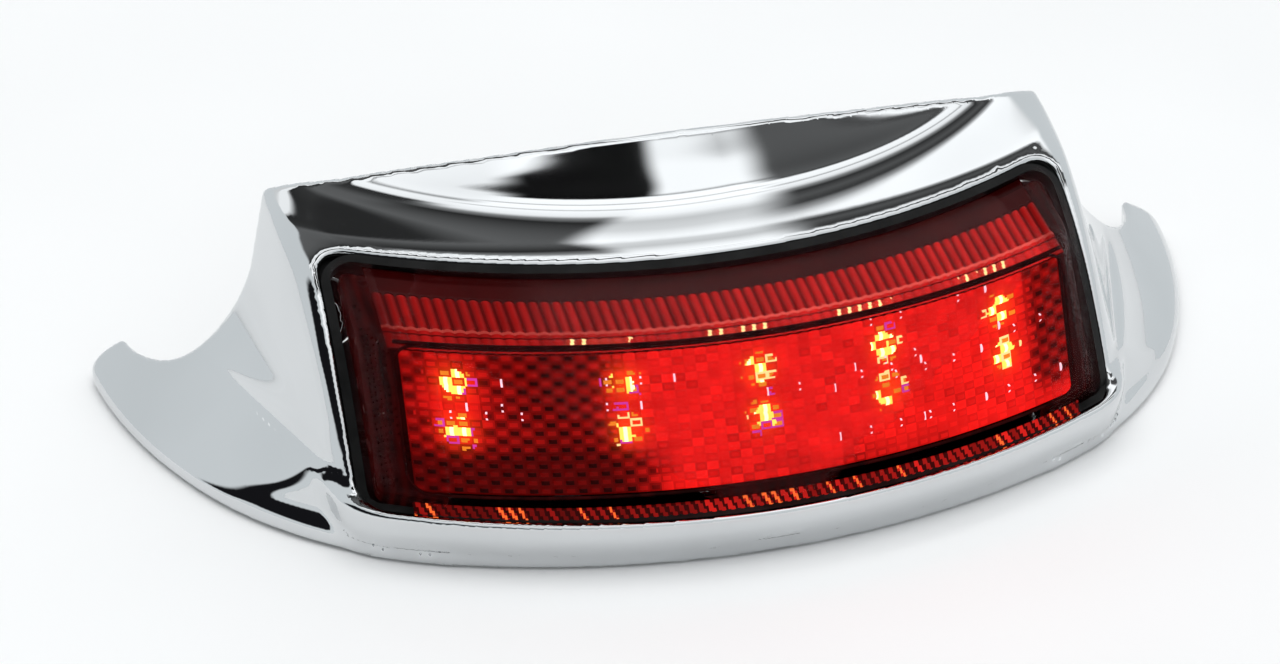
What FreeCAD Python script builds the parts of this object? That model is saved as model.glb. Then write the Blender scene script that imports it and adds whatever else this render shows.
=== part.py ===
import FreeCAD, Part
import math
import os
import Sketcher
from FreeCAD import Placement, Rotation, Vector

# Motorcycle tail light that wraps the lower rear edge of a wide fender.
# Millimetres.  X runs across, -Y is the way the lens faces, +Z is up.  The light stands on
# the plane z = 0 of its bottom rim, and the origin is under the middle of its box.

doc = FreeCAD.newDocument("tail_light")

# ---------------------------------------------------------------- driving dimensions
DIMENSIONS = {
    # plan outline of the bottom rim: three tangent arcs a side, angles from straight ahead
    "rim_front_y": -45.0,
    "rim_front_radius": 173.6,
    "rim_side_radius": 83.1,
    "rim_tip_radius": 124.2,
    "rim_front_angle": 19.0,
    "rim_side_angle": 60.0,
    "tip_y": 49.5,
    "tip_corner_radius": 5.0,
    # wing tops fall outward from the fender to the rim's crest
    "crest_inset": 2.2,
    "crest_height": 4.8,
    "wing_slope": 28.0,
    "wing_thickness": 3.2,
    "valley_radius": 12.0,
    # side walls: an upright arc in plan, leaning inward as it rises
    "wall_center_x": -98.2,
    "wall_center_y": 46.0,
    "wall_arc_radius": 192.7,
    "wall_lean": 0.30,
    # fender that the light wraps
    "fender_crown_radius": 190.0,
    "fender_shoulder_radius": 28.0,
    "fender_half_width": 109.5,
    "fender_rear_y": -1.6,
    "fender_lean": 22.6,
    # shell
    "shell_depth": 3.2,
    "shell_side": 2.8,
    "floor_thickness": 3.0,
    # lens opening, drawn on the slanted plane through its front and top edges
    "opening_slant": 38.7,
    "opening_front_y": -49.0,
    "opening_front_z": 12.6,
    "opening_length": 50.66,
    "opening_half_width": 74.6,
    "opening_front_radius": 184.8,
    "opening_top_radius": 168.7,
    "opening_corner": 5.5,
    # lens and its seal
    "seal_width": 1.8,
    "seal_step": 0.5,
    "lens_wall": 2.6,
    "flange_width": 5.5,
    "flange_depth": 4.2,
    "skirt_depth": 6.5,
    "flange_clearance": 0.3,
    "gap": 0.05,
    # rear cover
    "cover_gap": 0.4,
    "cover_rear": 2.4,
    "cover_front": 4.6,
    "ledge_front": 5.8,
    "ledge_depth": 8.4,
    "ledge_width": 2.8,
    "foam_width": 4.5,
    # circuit boards
    "face_lean": 25.8,
    "face_mid_y": -39.2,
    "face_mid_z": 27.5,
    "board_depth": 13.0,
    "board_thickness": 1.6,
    "board_height": 24.0,
    "board_hole_radius": 1.5,
    "board_z": 21.8,
    "center_board_width": 70.0,
    "side_board_width": 23.0,
    "side_board_x": 49.0,
    "side_board_y": -18.6,
    "side_board_turn": 20.0,
    "led_upper": 7.5,
    "led_lower": -2.0,
    "led_pitch": 25.7,
    "led_base": 7.6,
    "led_base_height": 2.4,
    "led_dome_radius": 2.4,
    "led_dome_height": 3.6,
    "carrier_thickness": 3.0,
    "carrier_post_radius": 3.5,
    "carrier_foot_radius": 5.0,
    "carrier_foot_height": 6.0,
    "resistor_length": 6.3,
    "resistor_width": 3.2,
    "resistor_height": 0.8,
    "diode_radius": 1.3,
    "diode_length": 5.0,
    "regulator_width": 6.5,
    "regulator_depth": 6.1,
    "regulator_height": 2.3,
    "capacitor_radius": 2.5,
    "capacitor_height": 4.2,
    "wire_radius": 0.6,
    "wire_spacing": 4.0,
    "wire_bend": 1.5,
    "wire_start_x": 33.5,
    "wire_turn_x": 40.0,
    "wire_landing_x": 7.5,
    "wire_end_x": 4.6,
    "header_width": 10.0,
    "header_depth": 5.8,
    "header_height": 6.5,
    # fasteners
    "screw_shank_radius": 1.4,
    "screw_head_radius": 2.8,
    "screw_head_height": 1.8,
    "screw_head_rounding": 0.7,
    "screw_recess_length": 3.2,
    "screw_recess_width": 0.7,
    "cover_screw_length": 7.0,
    "carrier_screw_length": 7.0,
    "board_screw_length": 3.8,
    "insert_radius": 4.0,
    "insert_length": 10.0,
    "thread_radius": 2.5,
    "post_radius": 7.0,
    "post_length": 15.0,
    "boss_radius": 3.6,
    "boss_start": 6.5,
    "boss_end": 14.0,
    "pilot_end": 10.5,
    "grommet_radius": 6.0,
    "grommet_flange": 8.2,
    "grommet_hole": 2.75,
    "vent_radius": 3.0,
    "vent_head": 5.0,
}

sheet = doc.addObject("Spreadsheet::Sheet", "dimensions")
for row, (alias, value) in enumerate(DIMENSIONS.items(), start=1):
    sheet.set(f"A{row}", alias)
    sheet.set(f"B{row}", str(value))
    sheet.setAlias(f"B{row}", alias)
doc.recompute()


def dim(alias):
    """Read one driving dimension from the sheet."""
    return float(sheet.get(alias))


# ---------------------------------------------------------------- profile of the front
# Each level is (height, y of the front at X = 0, plan radius of the front arc).
LIP_LEVELS = [(-2.0, -44.4, 165), (3.0, -46.5, 160), (8.0, -48.7, 157), (12.2, -49.5, 156)]
SIDE_LEVELS = [(12.2, -46.8, 140), (19, -41.8, 140), (25, -36.7, 140), (30, -31.8, 140),
               (35, -25.8, 140), (39, -19.8, 140), (42, -14.0, 140), (44.3, -9.5, 131)]
HOOD_LEVELS = [(44.3, -9.5, 131), (45.3, -4.5, 124), (46.9, 2.2, 111.5), (50, 9.6, 103.5),
               (53.2, 16.0, 97), (56.2, 22.0, 91), (59.5, 28.4, 84.6)]
LIP_CORNER = (70.5, 17.0, 75.0)     # X where the corner starts, its radius, its last heading
SIDE_CORNER = (70.5, 22.0, 70.0)
BACK_Y = 95.0

# The lens steps out of the opening: level plus (X of its corner, heading of its side).
LENS_LEVELS = [(8.0, -50.0, 156, 70.0, 50.0), (12.3, -48.9, 156, 70.0, 50.0),
               (14.6, -45.4, 168, 67.8, 52.0), (40.4, -33.0, 157, 66.0, 67.0),
               (43.9, -10.2, 131, 70.5, 80.0)]
LENS_CORNER_RADIUS = 2.5

X_AXIS = Vector(1, 0, 0)
Y_AXIS = Vector(0, 1, 0)
Z_AXIS = Vector(0, 0, 1)


# ---------------------------------------------------------------- plan curves
def heading(angle):
    """Unit vector in plan whose heading is angle degrees from +X towards +Y."""
    turn = math.radians(angle)
    return Vector(math.cos(turn), math.sin(turn), 0)


def plan_arc(center, radius, start, end, z):
    """Arc in plan seen from its centre behind it; angles are headings of its tangent."""
    points = []
    for angle in (start, (start + end) / 2, end):
        turn = math.radians(angle)
        points.append(center + Vector(radius * math.sin(turn), -radius * math.cos(turn), z))
    return Part.Arc(*points).toShape()


def mirror_x(shape):
    return shape.mirror(Vector(0, 0, 0), X_AXIS)


def closed_outline(right_edges, front_edge, back_y):
    """Outline from a front edge, the edges of its right half and their mirror images."""
    end = right_edges[-1].Vertexes[-1].Point
    back = Vector(end.x, back_y, end.z)
    edges = [front_edge]
    if abs(end.y - back_y) > 1e-6:
        right_edges = right_edges + [Part.makeLine(end, back)]
    edges += right_edges
    edges.append(Part.makeLine(back, Vector(-back.x, back.y, back.z)))
    edges += [mirror_x(edge) for edge in reversed(right_edges)]
    return Part.Wire(Part.__sortEdges__(edges))


def rim_wire(inset, z):
    """The rim's plan outline at height z, moved inward by inset."""
    front_radius = dim("rim_front_radius")
    side_radius = dim("rim_side_radius")
    tip_radius = dim("rim_tip_radius")
    first = dim("rim_front_angle")
    second = dim("rim_side_angle")
    front_center = Vector(0, dim("rim_front_y") + front_radius, 0)
    side_center = front_center + (front_radius - side_radius) * heading(first - 90)
    tip_center = side_center + (side_radius - tip_radius) * heading(second - 90)
    front = plan_arc(front_center, front_radius - inset, -first, first, z)
    side = plan_arc(side_center, side_radius - inset, first, second, z)
    tip = plan_arc(tip_center, tip_radius - inset, second, 90, z)
    return closed_outline([side, tip], front, BACK_Y)


def front_wire(z, front_y, radius, corner_x, corner_radius, last_heading):
    """Plan section of the light's front: an arc, a rounded corner and a straight side."""
    center = Vector(0, front_y + radius, 0)
    start = math.degrees(math.asin(corner_x / radius))
    front = plan_arc(center, radius, -start, start, z)
    corner_center = center + (radius - corner_radius) * heading(start - 90)
    corner = plan_arc(corner_center, corner_radius, start, last_heading, z)
    side_start = corner_center + corner_radius * heading(last_heading - 90) + Vector(0, 0, z)
    run = (BACK_Y - side_start.y) / math.sin(math.radians(last_heading))
    side = Part.makeLine(side_start, side_start + run * heading(last_heading))
    return closed_outline([corner, side], front, BACK_Y)


# ---------------------------------------------------------------- masses of the housing
def chord_normal():
    """Outward normal of the slanted plane that carries the lens opening."""
    slant = math.radians(dim("opening_slant"))
    return Vector(0, -math.sin(slant), math.cos(slant))


def moved(shape, offset):
    copy = shape.copy()
    copy.translate(offset)
    return copy


def stack(levels, corner):
    """Smooth solid through plan sections at several heights."""
    return Part.makeLoft([front_wire(*level, *corner) for level in levels], True, False)


def make_front_mass():
    lip = stack(LIP_LEVELS, LIP_CORNER)
    sides = stack(SIDE_LEVELS, SIDE_CORNER)
    hood = stack(HOOD_LEVELS, SIDE_CORNER)
    return lip.fuse([sides, hood])


FRONT_MASS = make_front_mass()


def front_mass(depth):
    """The front's solid, sunk by depth square to the lens opening."""
    return moved(FRONT_MASS, -depth * chord_normal())


def rim_mass():
    """Rim of the wings, rounded under its foot and leaning inward as it rises."""
    band = [(0.9, 0.0), (0.25, 0.5), (0.0, 1.4), (0.1, 2.6), (0.7, 4.0), (1.7, 5.6),
            (2.6, 8.0), (3.6, 11.0), (4.6, 14.0)]
    return Part.makeLoft([rim_wire(inset, z) for inset, z in band], True, True)


def wing_mass(drop):
    """Everything below the sloping wing tops, lowered by drop."""
    slope = math.tan(math.radians(dim("wing_slope")))
    outer, inner = -12.0, 45.0
    crest = dim("crest_height") - drop
    ends = [(inset, crest + slope * (inset - dim("crest_inset"))) for inset in (outer, inner)]
    return Part.makeLoft([rim_wire(inset, z) for inset, z in ends], True, True)


def between_walls(side, inset, low=-30.0, high=70.0):
    """Upright cone whose surface is one side wall, moved inward by inset."""
    center = Vector(side * dim("wall_center_x"), dim("wall_center_y"), low)
    radii = [dim("wall_arc_radius") - inset - dim("wall_lean") * z for z in (low, high)]
    return Part.makeCone(*radii, high - low, center, Z_AXIS)


def wing_pocket():
    """Space above the right wing and outside the side wall."""
    block = Part.makeBox(120, 160, 80, Vector(60, -60, -2))
    pocket = block.cut(between_walls(1, 0)).cut(wing_mass(0))
    return max(pocket.Solids, key=lambda item: item.Volume)


def fender(advance):
    """The fender's body, its skin grown by advance."""
    crown = dim("fender_crown_radius") + advance
    shoulder = dim("fender_shoulder_radius") + advance
    center = Vector(0, dim("fender_crown_radius"), 0)
    shoulder_x = dim("fender_half_width") + advance - shoulder
    start = math.degrees(math.asin(shoulder_x / (crown - shoulder)))
    front = plan_arc(center, crown, -start, start, 0)
    shoulder_center = center + (crown - shoulder) * heading(start - 90)
    side = plan_arc(shoulder_center, shoulder, start, 90, 0)
    outline = closed_outline([side], front, 180.0)
    body = Part.Face(outline).extrude(Vector(0, 0, 160))
    body.translate(Vector(0, 0, -60))
    body.Placement = Placement(Vector(0, dim("fender_rear_y"), 0),
                               Rotation(X_AXIS, -dim("fender_lean"))).multiply(body.Placement)
    return body


def tip_trim():
    """Plan outline that ends the wings square with rounded outer corners."""
    tip = dim("tip_y")
    radius = dim("tip_corner_radius")
    half = 117.2
    block = Part.makeBox(260, 150, 100, Vector(-130, tip - radius - 150, -5))
    middle = Part.makeBox(2 * (half - radius), 20, 100, Vector(radius - half, tip - 20, -5))
    rounds = [Part.makeCylinder(radius, 100, Vector(side * (half - radius), tip - radius, -5))
              for side in (-1, 1)]
    return block.fuse([middle] + rounds)


# ---------------------------------------------------------------- shapes shared by pieces
def opening_prism(inset):
    """Prism through the lens opening, square to its slanted plane, made smaller by inset."""
    depth = 50.0
    half = dim("opening_half_width") - inset
    front_radius = dim("opening_front_radius") - inset
    top_radius = dim("opening_top_radius") + inset
    length = dim("opening_length")
    front_y = inset + front_radius
    top_y = length - inset + top_radius

    def arc(center_y, radius):
        ends = [Vector(side * half, center_y - math.sqrt(radius**2 - half**2), 0)
                for side in (-1, 1)]
        return Part.Arc(ends[0], Vector(0, center_y - radius, 0), ends[1]).toShape(), ends

    front, front_ends = arc(front_y, front_radius)
    top, top_ends = arc(top_y, top_radius)
    sides = [Part.makeLine(front_ends[i], top_ends[i]) for i in (0, 1)]
    outline = Part.Wire(Part.__sortEdges__([front, sides[1], top, sides[0]]))
    prism = Part.Face(outline).extrude(Vector(0, 0, depth + 40))
    corners = [edge for edge in prism.Edges
               if abs(edge.tangentAt(edge.FirstParameter).z) > 0.99]
    prism = prism.makeFillet(dim("opening_corner") - inset, corners)
    prism.translate(Vector(0, 0, -depth))
    base = Vector(0, dim("opening_front_y"), dim("opening_front_z"))
    prism.Placement = Placement(base, Rotation(X_AXIS, dim("opening_slant"))).multiply(
        prism.Placement)
    return prism


def above(height):
    return Part.makeBox(300, 300, 120, Vector(-150, -150, height))


def inner_space(depth, side, floor):
    """Room inside the shell: depth under the front, side within the walls, above the floor."""
    space = front_mass(depth).common(between_walls(1, side)).common(between_walls(-1, side))
    return space.common(above(floor))


def room(inset):
    """Room inside the shell, with an extra inset all round."""
    return inner_space(dim("shell_depth") + inset, dim("shell_side") + inset,
                       dim("floor_thickness") + inset)


def slab(front, rear):
    """Sheet that follows the fender, from rear to front millimetres off its skin."""
    return fender(front).cut(fender(rear))


def on_fender(x, z):
    """Placement on the fender's skin at x and z; local Z leaves the fender towards the lens."""
    crown = dim("fender_crown_radius")
    lean = math.radians(dim("fender_lean"))
    sag = crown - math.sqrt(crown**2 - x**2)
    y = dim("fender_rear_y") + sag / math.cos(lean) + z * math.tan(lean)
    facing = math.sqrt(1 - (x / crown)**2)
    normal = Vector(x / crown, -facing * math.cos(lean), facing * math.sin(lean))
    return Placement(Vector(x, y, z), Rotation(Z_AXIS, normal))


def cylinder_at(placement, radius, start, end):
    cylinder = Part.makeCylinder(radius, end - start, Vector(0, 0, start), Z_AXIS)
    cylinder.Placement = placement.multiply(cylinder.Placement)
    return cylinder


COVER_SCREWS = [(-50, 37), (0, 42), (50, 37), (-60, 6.2), (0, 6.2), (60, 6.2)]
MOUNT_POINTS = [(-71, 24), (71, 24)]
CARRIER_FEET = [(-26, 15), (26, 15), (0, 31)]
GROMMET_POINT = (0, 17)
VENT_POINT = (44, 17)


# ---------------------------------------------------------------- housing
def largest(shape):
    return max(shape.Solids, key=lambda item: item.Volume)


def make_outer():
    """Outside of the housing as one solid block, cut to the fender."""
    pocket = wing_pocket()
    outer = rim_mass().fuse(FRONT_MASS).common(tip_trim())
    outer = outer.cut(pocket).cut(mirror_x(pocket)).cut(fender(0)).common(above(0))
    outer = largest(outer)
    wings = wing_mass(0)
    wall_faces = [wall.Faces[0] for wall in (between_walls(1, 0), between_walls(-1, 0))]
    valley = []
    for edge in outer.Edges:
        middle = Part.Vertex(edge.valueAt((edge.FirstParameter + edge.LastParameter) / 2))
        on_wall = min(face.distToShape(middle)[0] for face in wall_faces) < 0.05
        if on_wall and abs(middle.X) > 80 and wings.distToShape(middle)[0] < 0.001:
            valley.append(edge)
    return outer.makeFillet(dim("valley_radius"), valley)


def make_housing():
    outer = make_outer()
    rear_skin = fender(0)
    core = front_mass(dim("skirt_depth") + 0.5)
    cutter = opening_prism(0).cut(core).common(above(dim("floor_thickness")))
    shell = outer.cut(room(0)).cut(cutter)
    under_wings = Part.makeLoft([rim_wire(3.0, -1), rim_wire(3.0, 30)], True, True)
    under_wings = under_wings.common(wing_mass(dim("wing_thickness")))
    under_wings = under_wings.cut(between_walls(1, -3.0).common(between_walls(-1, -3.0)))
    short = Part.makeBox(260, 150, 60, Vector(-130, dim("tip_y") - 4.0 - 150, -5))
    shell = shell.cut(under_wings.common(short).cut(fender(dim("wing_thickness"))))
    ledge = room(-0.2).cut(room(dim("ledge_width")))
    ledge = ledge.common(slab(dim("ledge_depth"), dim("ledge_front")))
    bosses = [cylinder_at(on_fender(x, z), dim("boss_radius"), dim("boss_start"),
                          dim("boss_end")) for x, z in COVER_SCREWS]
    posts = [cylinder_at(on_fender(x, z), dim("post_radius"), 0, dim("post_length"))
             for x, z in MOUNT_POINTS]
    flange_space = opening_prism(-dim("flange_width") - 0.5)
    flange_space = flange_space.cut(core).cut(shell)
    supports = [item.common(outer).cut(flange_space) for item in [ledge] + bosses + posts]
    shell = largest(shell.fuse(supports).cut(rear_skin).cut(cutter))
    for x, z in COVER_SCREWS:
        shell = shell.cut(cylinder_at(on_fender(x, z), dim("screw_shank_radius"), 0,
                                      dim("pilot_end")))
    for x, z in MOUNT_POINTS:
        shell = shell.cut(cylinder_at(on_fender(x, z), dim("insert_radius"), -1,
                                      dim("insert_length") + 1.5))
    return shell


# ---------------------------------------------------------------- lens and seal
def lens_block(inset):
    """The lens's outer form: a top band, a main face, a front facet and two side facets."""
    slices = [front_wire(z, y, radius, corner_x, LENS_CORNER_RADIUS, last)
              for z, y, radius, corner_x, last in LENS_LEVELS]
    block = Part.makeLoft(slices, True, True)
    return moved(block, -inset * chord_normal())


def trimmed_room():
    """Room inside the shell, a little clear of the side walls and the floor."""
    clear = dim("flange_clearance")
    return inner_space(dim("shell_depth"), dim("shell_side") + clear,
                       dim("floor_thickness") + clear)


def make_lens():
    wall = dim("lens_wall")
    edge = dim("seal_width")
    body = lens_block(0).common(opening_prism(edge))
    hollow = lens_block(wall).common(opening_prism(edge + wall))
    dome = body.cut(hollow).cut(front_mass(dim("skirt_depth")))
    flange = opening_prism(-dim("flange_width")).cut(opening_prism(edge + wall))
    flange = flange.common(front_mass(dim("flange_depth") + dim("gap")))
    flange = flange.common(front_mass(dim("flange_depth"))).common(trimmed_room())
    flange = flange.cut(front_mass(dim("skirt_depth")))
    return largest(dome.fuse(flange))


def make_lens_seal():
    lip = opening_prism(dim("gap")).cut(opening_prism(dim("seal_width") - dim("gap")))
    lip = lip.common(front_mass(dim("seal_step")))
    flat = opening_prism(-dim("flange_width")).cut(opening_prism(dim("seal_width") - dim("gap")))
    flat = flat.common(front_mass(dim("shell_depth") + dim("gap"))).common(trimmed_room())
    return largest(lip.fuse(flat).cut(front_mass(dim("flange_depth"))))


# ---------------------------------------------------------------- rear cover and its seals
def screw_holes(radius, points=COVER_SCREWS):
    return [cylinder_at(on_fender(x, z), radius, -5, 20) for x, z in points]


def make_rear_cover():
    cover = room(dim("cover_gap")).common(slab(dim("cover_front"), dim("cover_rear")))
    cover = cover.cut(screw_holes(dim("screw_shank_radius") + 0.3))
    cover = cover.cut(screw_holes(dim("post_radius") + 0.3, MOUNT_POINTS))
    cover = cover.cut([cylinder_at(on_fender(*point), radius, -5, 20) for point, radius in
                       ((GROMMET_POINT, dim("grommet_radius")), (VENT_POINT, dim("vent_radius")))])
    return largest(cover.cut(screw_holes(dim("screw_shank_radius") + 0.3, CARRIER_FEET)))


def make_cover_gasket():
    ring = room(dim("cover_gap")).cut(room(dim("ledge_width")))
    ring = ring.common(slab(dim("ledge_front") - dim("gap"), dim("cover_front") + dim("gap")))
    return largest(ring.cut(screw_holes(4.0)).cut(screw_holes(dim("post_radius") + 0.3,
                                                              MOUNT_POINTS)))


def make_fender_foam():
    ring = room(dim("cover_gap")).cut(room(dim("foam_width")))
    ring = ring.common(slab(dim("cover_rear") - dim("gap"), 0))
    return largest(ring.cut(screw_holes(dim("screw_head_radius") + 0.6))
                   .cut(screw_holes(dim("post_radius") + 0.3, MOUNT_POINTS)))


def pan_screw(place, seat, length):
    """Pan-head screw with a cross recess; the head starts at seat, the shank goes forward."""
    top = seat + dim("screw_head_height")
    head = Part.makeCylinder(dim("screw_head_radius"), top - seat, Vector(0, 0, seat), Z_AXIS)
    rear_edge = min(head.Edges, key=lambda edge: edge.CenterOfMass.z)
    head = placed(head.makeFillet(dim("screw_head_rounding"), [rear_edge]), place)
    shank = cylinder_at(place, dim("screw_shank_radius") - dim("gap"), top - 0.1, top + length)
    recess, width = dim("screw_recess_length"), dim("screw_recess_width")
    slots = []
    for turn in (0, 90):
        slot = Part.makeBox(recess, width, 1.0, Vector(-recess / 2, -width / 2, seat - 0.2))
        slot.rotate(Vector(0, 0, 0), Z_AXIS, turn)
        slot.Placement = place.multiply(slot.Placement)
        slots.append(slot)
    return head.fuse(shank).cut(slots)


def rear_screws(points, length):
    """Screws driven forward through the rear cover."""
    seat = dim("cover_rear") - dim("screw_head_height") - dim("gap")
    return Part.makeCompound([pan_screw(on_fender(x, z), seat, length) for x, z in points])


# ---------------------------------------------------------------- boards and their carrier
def board_place(x, y, turn):
    """Placement on a board's front: local X along it, local Y up it, local Z to the lens."""
    lean = Rotation(X_AXIS, 90 - dim("face_lean"))
    return Placement(Vector(x, y, dim("board_z")), Rotation(Z_AXIS, turn).multiply(lean))


CENTER_PLACE = board_place(0, dim("face_mid_y")
                           + dim("board_depth") * math.cos(math.radians(dim("face_lean"))), 0)
RIGHT_PLACE = board_place(dim("side_board_x"), dim("side_board_y"), dim("side_board_turn"))
LEFT_PLACE = board_place(-dim("side_board_x"), dim("side_board_y"), -dim("side_board_turn"))
CENTER_HOLES = [(-13, 9.5), (13, 9.5), (-32, -9.5), (32, -9.5)]
SIDE_HOLES = [(-8.5, -9.5), (8.5, -9.5)]


def placed(shape, place):
    shape.Placement = place.multiply(shape.Placement)
    return shape


def plate(width, height, front, thickness, place):
    """Flat plate centred on a board's axes, its front face front millimetres behind it."""
    box = Part.makeBox(width, height, thickness,
                       Vector(-width / 2, -height / 2, -front - thickness))
    return placed(box, place)


def make_board_carrier():
    thick = dim("carrier_thickness")
    front = dim("board_thickness") + dim("gap")
    height = dim("board_height") + 2
    boards = [(dim("center_board_width") + 6, CENTER_PLACE),
              (dim("side_board_width") + 2, LEFT_PLACE), (dim("side_board_width") + 2, RIGHT_PLACE)]
    plates = [plate(width, height, front, thick, place) for width, place in boards]
    for side in (-1, 1):
        cheek = Part.makeBox(4, height, 9, Vector(side * 37 - 2, -height / 2, -front - 9))
        plates.append(placed(cheek, CENTER_PLACE))
    posts = []
    for x, z in CARRIER_FEET:
        foot = on_fender(x, z)
        top = dim("cover_front") + dim("gap") + dim("carrier_foot_height")
        end = foot.multVec(Vector(0, 0, top - 2.0))
        posts.append(cylinder_at(foot, dim("carrier_foot_radius"),
                                 dim("cover_front") + dim("gap"), top))
        posts.append(Part.makeCylinder(dim("carrier_post_radius"), 50, end, -Y_AXIS))
    front_space = plate(200, 200, front - 40, 40, CENTER_PLACE)
    carrier = plates[0].fuse(plates[1:] + [post.cut(front_space) for post in posts])
    window = placed(Part.makeBox(13, 8.5, 20, Vector(-6.5, -11.5, -12)), CENTER_PLACE)
    boards = [plate(dim("side_board_width") + 1, dim("board_height") + 1, -3.0, 3.0 + front, place)
              for place in (LEFT_PLACE, RIGHT_PLACE)]
    carrier = carrier.cut([window] + boards + screw_holes(dim("screw_shank_radius"), CARRIER_FEET))
    return largest(carrier.cut(board_holes(1.0)).common(front_mass(dim("skirt_depth") + 0.3)))


def board_holes(radius):
    """Cylinders on every board screw, through the boards and the carrier."""
    holes = []
    for place, points in ((CENTER_PLACE, CENTER_HOLES), (LEFT_PLACE, SIDE_HOLES),
                          (RIGHT_PLACE, SIDE_HOLES)):
        for x, y in points:
            hole = Part.makeCylinder(radius, 12, Vector(x, y, -10), Z_AXIS)
            holes.append(placed(hole, place))
    return holes


def make_board_screws():
    screws = []
    for place, points in ((CENTER_PLACE, CENTER_HOLES), (LEFT_PLACE, SIDE_HOLES),
                          (RIGHT_PLACE, SIDE_HOLES)):
        for x, y in points:
            head = Part.makeCylinder(2.3, 1.3, Vector(x, y, dim("gap")), Z_AXIS)
            shank = Part.makeCylinder(0.95, dim("board_screw_length") + 0.2,
                                      Vector(x, y, 0.2 - dim("board_screw_length")), Z_AXIS)
            slot = Part.makeBox(4.0, 0.6, 0.8, Vector(x - 2.0, y - 0.3, 0.8))
            screws.append(placed(head.fuse(shank).cut(slot), place))
    return Part.makeCompound(screws)


def bent_path(points, bend):
    """Straight runs through points, joined by tangent arcs of radius bend."""
    edges = []
    start = points[0]
    for before, corner, after in zip(points, points[1:], points[2:]):
        back = (before - corner).normalize()
        onward = (after - corner).normalize()
        half_angle = back.getAngle(onward) / 2
        reach = bend / math.tan(half_angle)
        middle = corner + (back + onward).normalize() * (bend / math.sin(half_angle) - bend)
        end = corner + onward * reach
        edges.append(Part.makeLine(start, corner + back * reach))
        edges.append(Part.Arc(corner + back * reach, middle, end).toShape())
        start = end
    edges.append(Part.makeLine(start, points[-1]))
    return Part.Wire(edges)


def make_jumper_wires():
    """Two insulated wires each side, from the centre board round to a side board."""
    radius = dim("wire_radius")
    height = dim("gap") + radius
    wires = []
    for side, place in ((-1, LEFT_PLACE), (1, RIGHT_PLACE)):
        for rise in (-dim("wire_spacing") / 2, dim("wire_spacing") / 2):
            points = [CENTER_PLACE.multVec(Vector(side * x, rise, height))
                      for x in (dim("wire_start_x"), dim("wire_turn_x"))]
            points += [place.multVec(Vector(-side * x, rise, height))
                       for x in (dim("wire_landing_x"), dim("wire_end_x"))]
            path = bent_path(points, dim("wire_bend"))
            profile = Part.Face(Part.Wire(Part.makeCircle(radius, points[0],
                                                          points[1] - points[0])))
            wires.append(path.makePipe(profile))
    return Part.makeCompound(wires)


# ---------------------------------------------------------------- document objects
PARTS = []


def finish(obj, label):
    """Name a sub-part and list it for export."""
    obj.Label = label
    PARTS.append(obj)
    return obj


def feature(label, shape):
    """Sub-part whose shape is computed above."""
    obj = doc.addObject("Part::Feature", label)
    obj.Shape = shape
    obj.Placement = Placement()
    return finish(obj, label)


def bound(obj, **expressions):
    """Bind properties to the sheet; each value is an expression in the sheet's aliases."""
    for name, expression in expressions.items():
        obj.setExpression(name, expression)
    return obj


def origin_plane(body, role):
    return next(item for item in body.Origin.OriginFeatures if item.Role == role)


def new_sketch(body, name, role):
    sketch = body.newObject("Sketcher::SketchObject", name)
    sketch.AttachmentSupport = (origin_plane(body, role), [""])
    sketch.MapMode = "FlatFace"
    return sketch


def board(label, width_alias, place, holes):
    """Circuit board: a padded rectangle with screw holes, its front on the local XY plane."""
    body = doc.addObject("PartDesign::Body", label)
    sketch = new_sketch(body, label + "_outline", "XY_Plane")
    half_width, half_height = dim(width_alias) / 2, dim("board_height") / 2
    corners = [Vector(x * half_width, y * half_height, 0)
               for x, y in ((-1, -1), (1, -1), (1, 1), (-1, 1))]
    for index in range(4):
        sketch.addGeometry(Part.LineSegment(corners[index], corners[(index + 1) % 4]), False)
    for index in range(4):
        sketch.addConstraint(Sketcher.Constraint("Coincident", index, 2, (index + 1) % 4, 1))
    for index, kind in enumerate(("Horizontal", "Vertical", "Horizontal", "Vertical")):
        sketch.addConstraint(Sketcher.Constraint(kind, index))
    sketch.addConstraint(Sketcher.Constraint("Symmetric", 0, 1, 2, 1, -1, 1))
    width = sketch.addConstraint(Sketcher.Constraint("DistanceX", 0, 1, 0, 2, 2 * half_width))
    height = sketch.addConstraint(Sketcher.Constraint("DistanceY", 1, 1, 1, 2, 2 * half_height))
    sketch.setExpression(f"Constraints[{width}]", f"dimensions.{width_alias}")
    sketch.setExpression(f"Constraints[{height}]", "dimensions.board_height")
    for x, y in holes:
        circle = sketch.addGeometry(Part.Circle(Vector(x, y, 0), Z_AXIS,
                                                dim("board_hole_radius")), False)
        sketch.addConstraint(Sketcher.Constraint("DistanceX", -1, 1, circle, 3, x))
        sketch.addConstraint(Sketcher.Constraint("DistanceY", -1, 1, circle, 3, y))
        radius = sketch.addConstraint(Sketcher.Constraint("Radius", circle,
                                                          dim("board_hole_radius")))
        sketch.setExpression(f"Constraints[{radius}]", "dimensions.board_hole_radius")
    pad = body.newObject("PartDesign::Pad", label + "_thickness")
    pad.Profile = sketch
    pad.Reversed = True
    bound(pad, Length="dimensions.board_thickness")
    body.Placement = place
    return finish(body, label)


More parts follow.
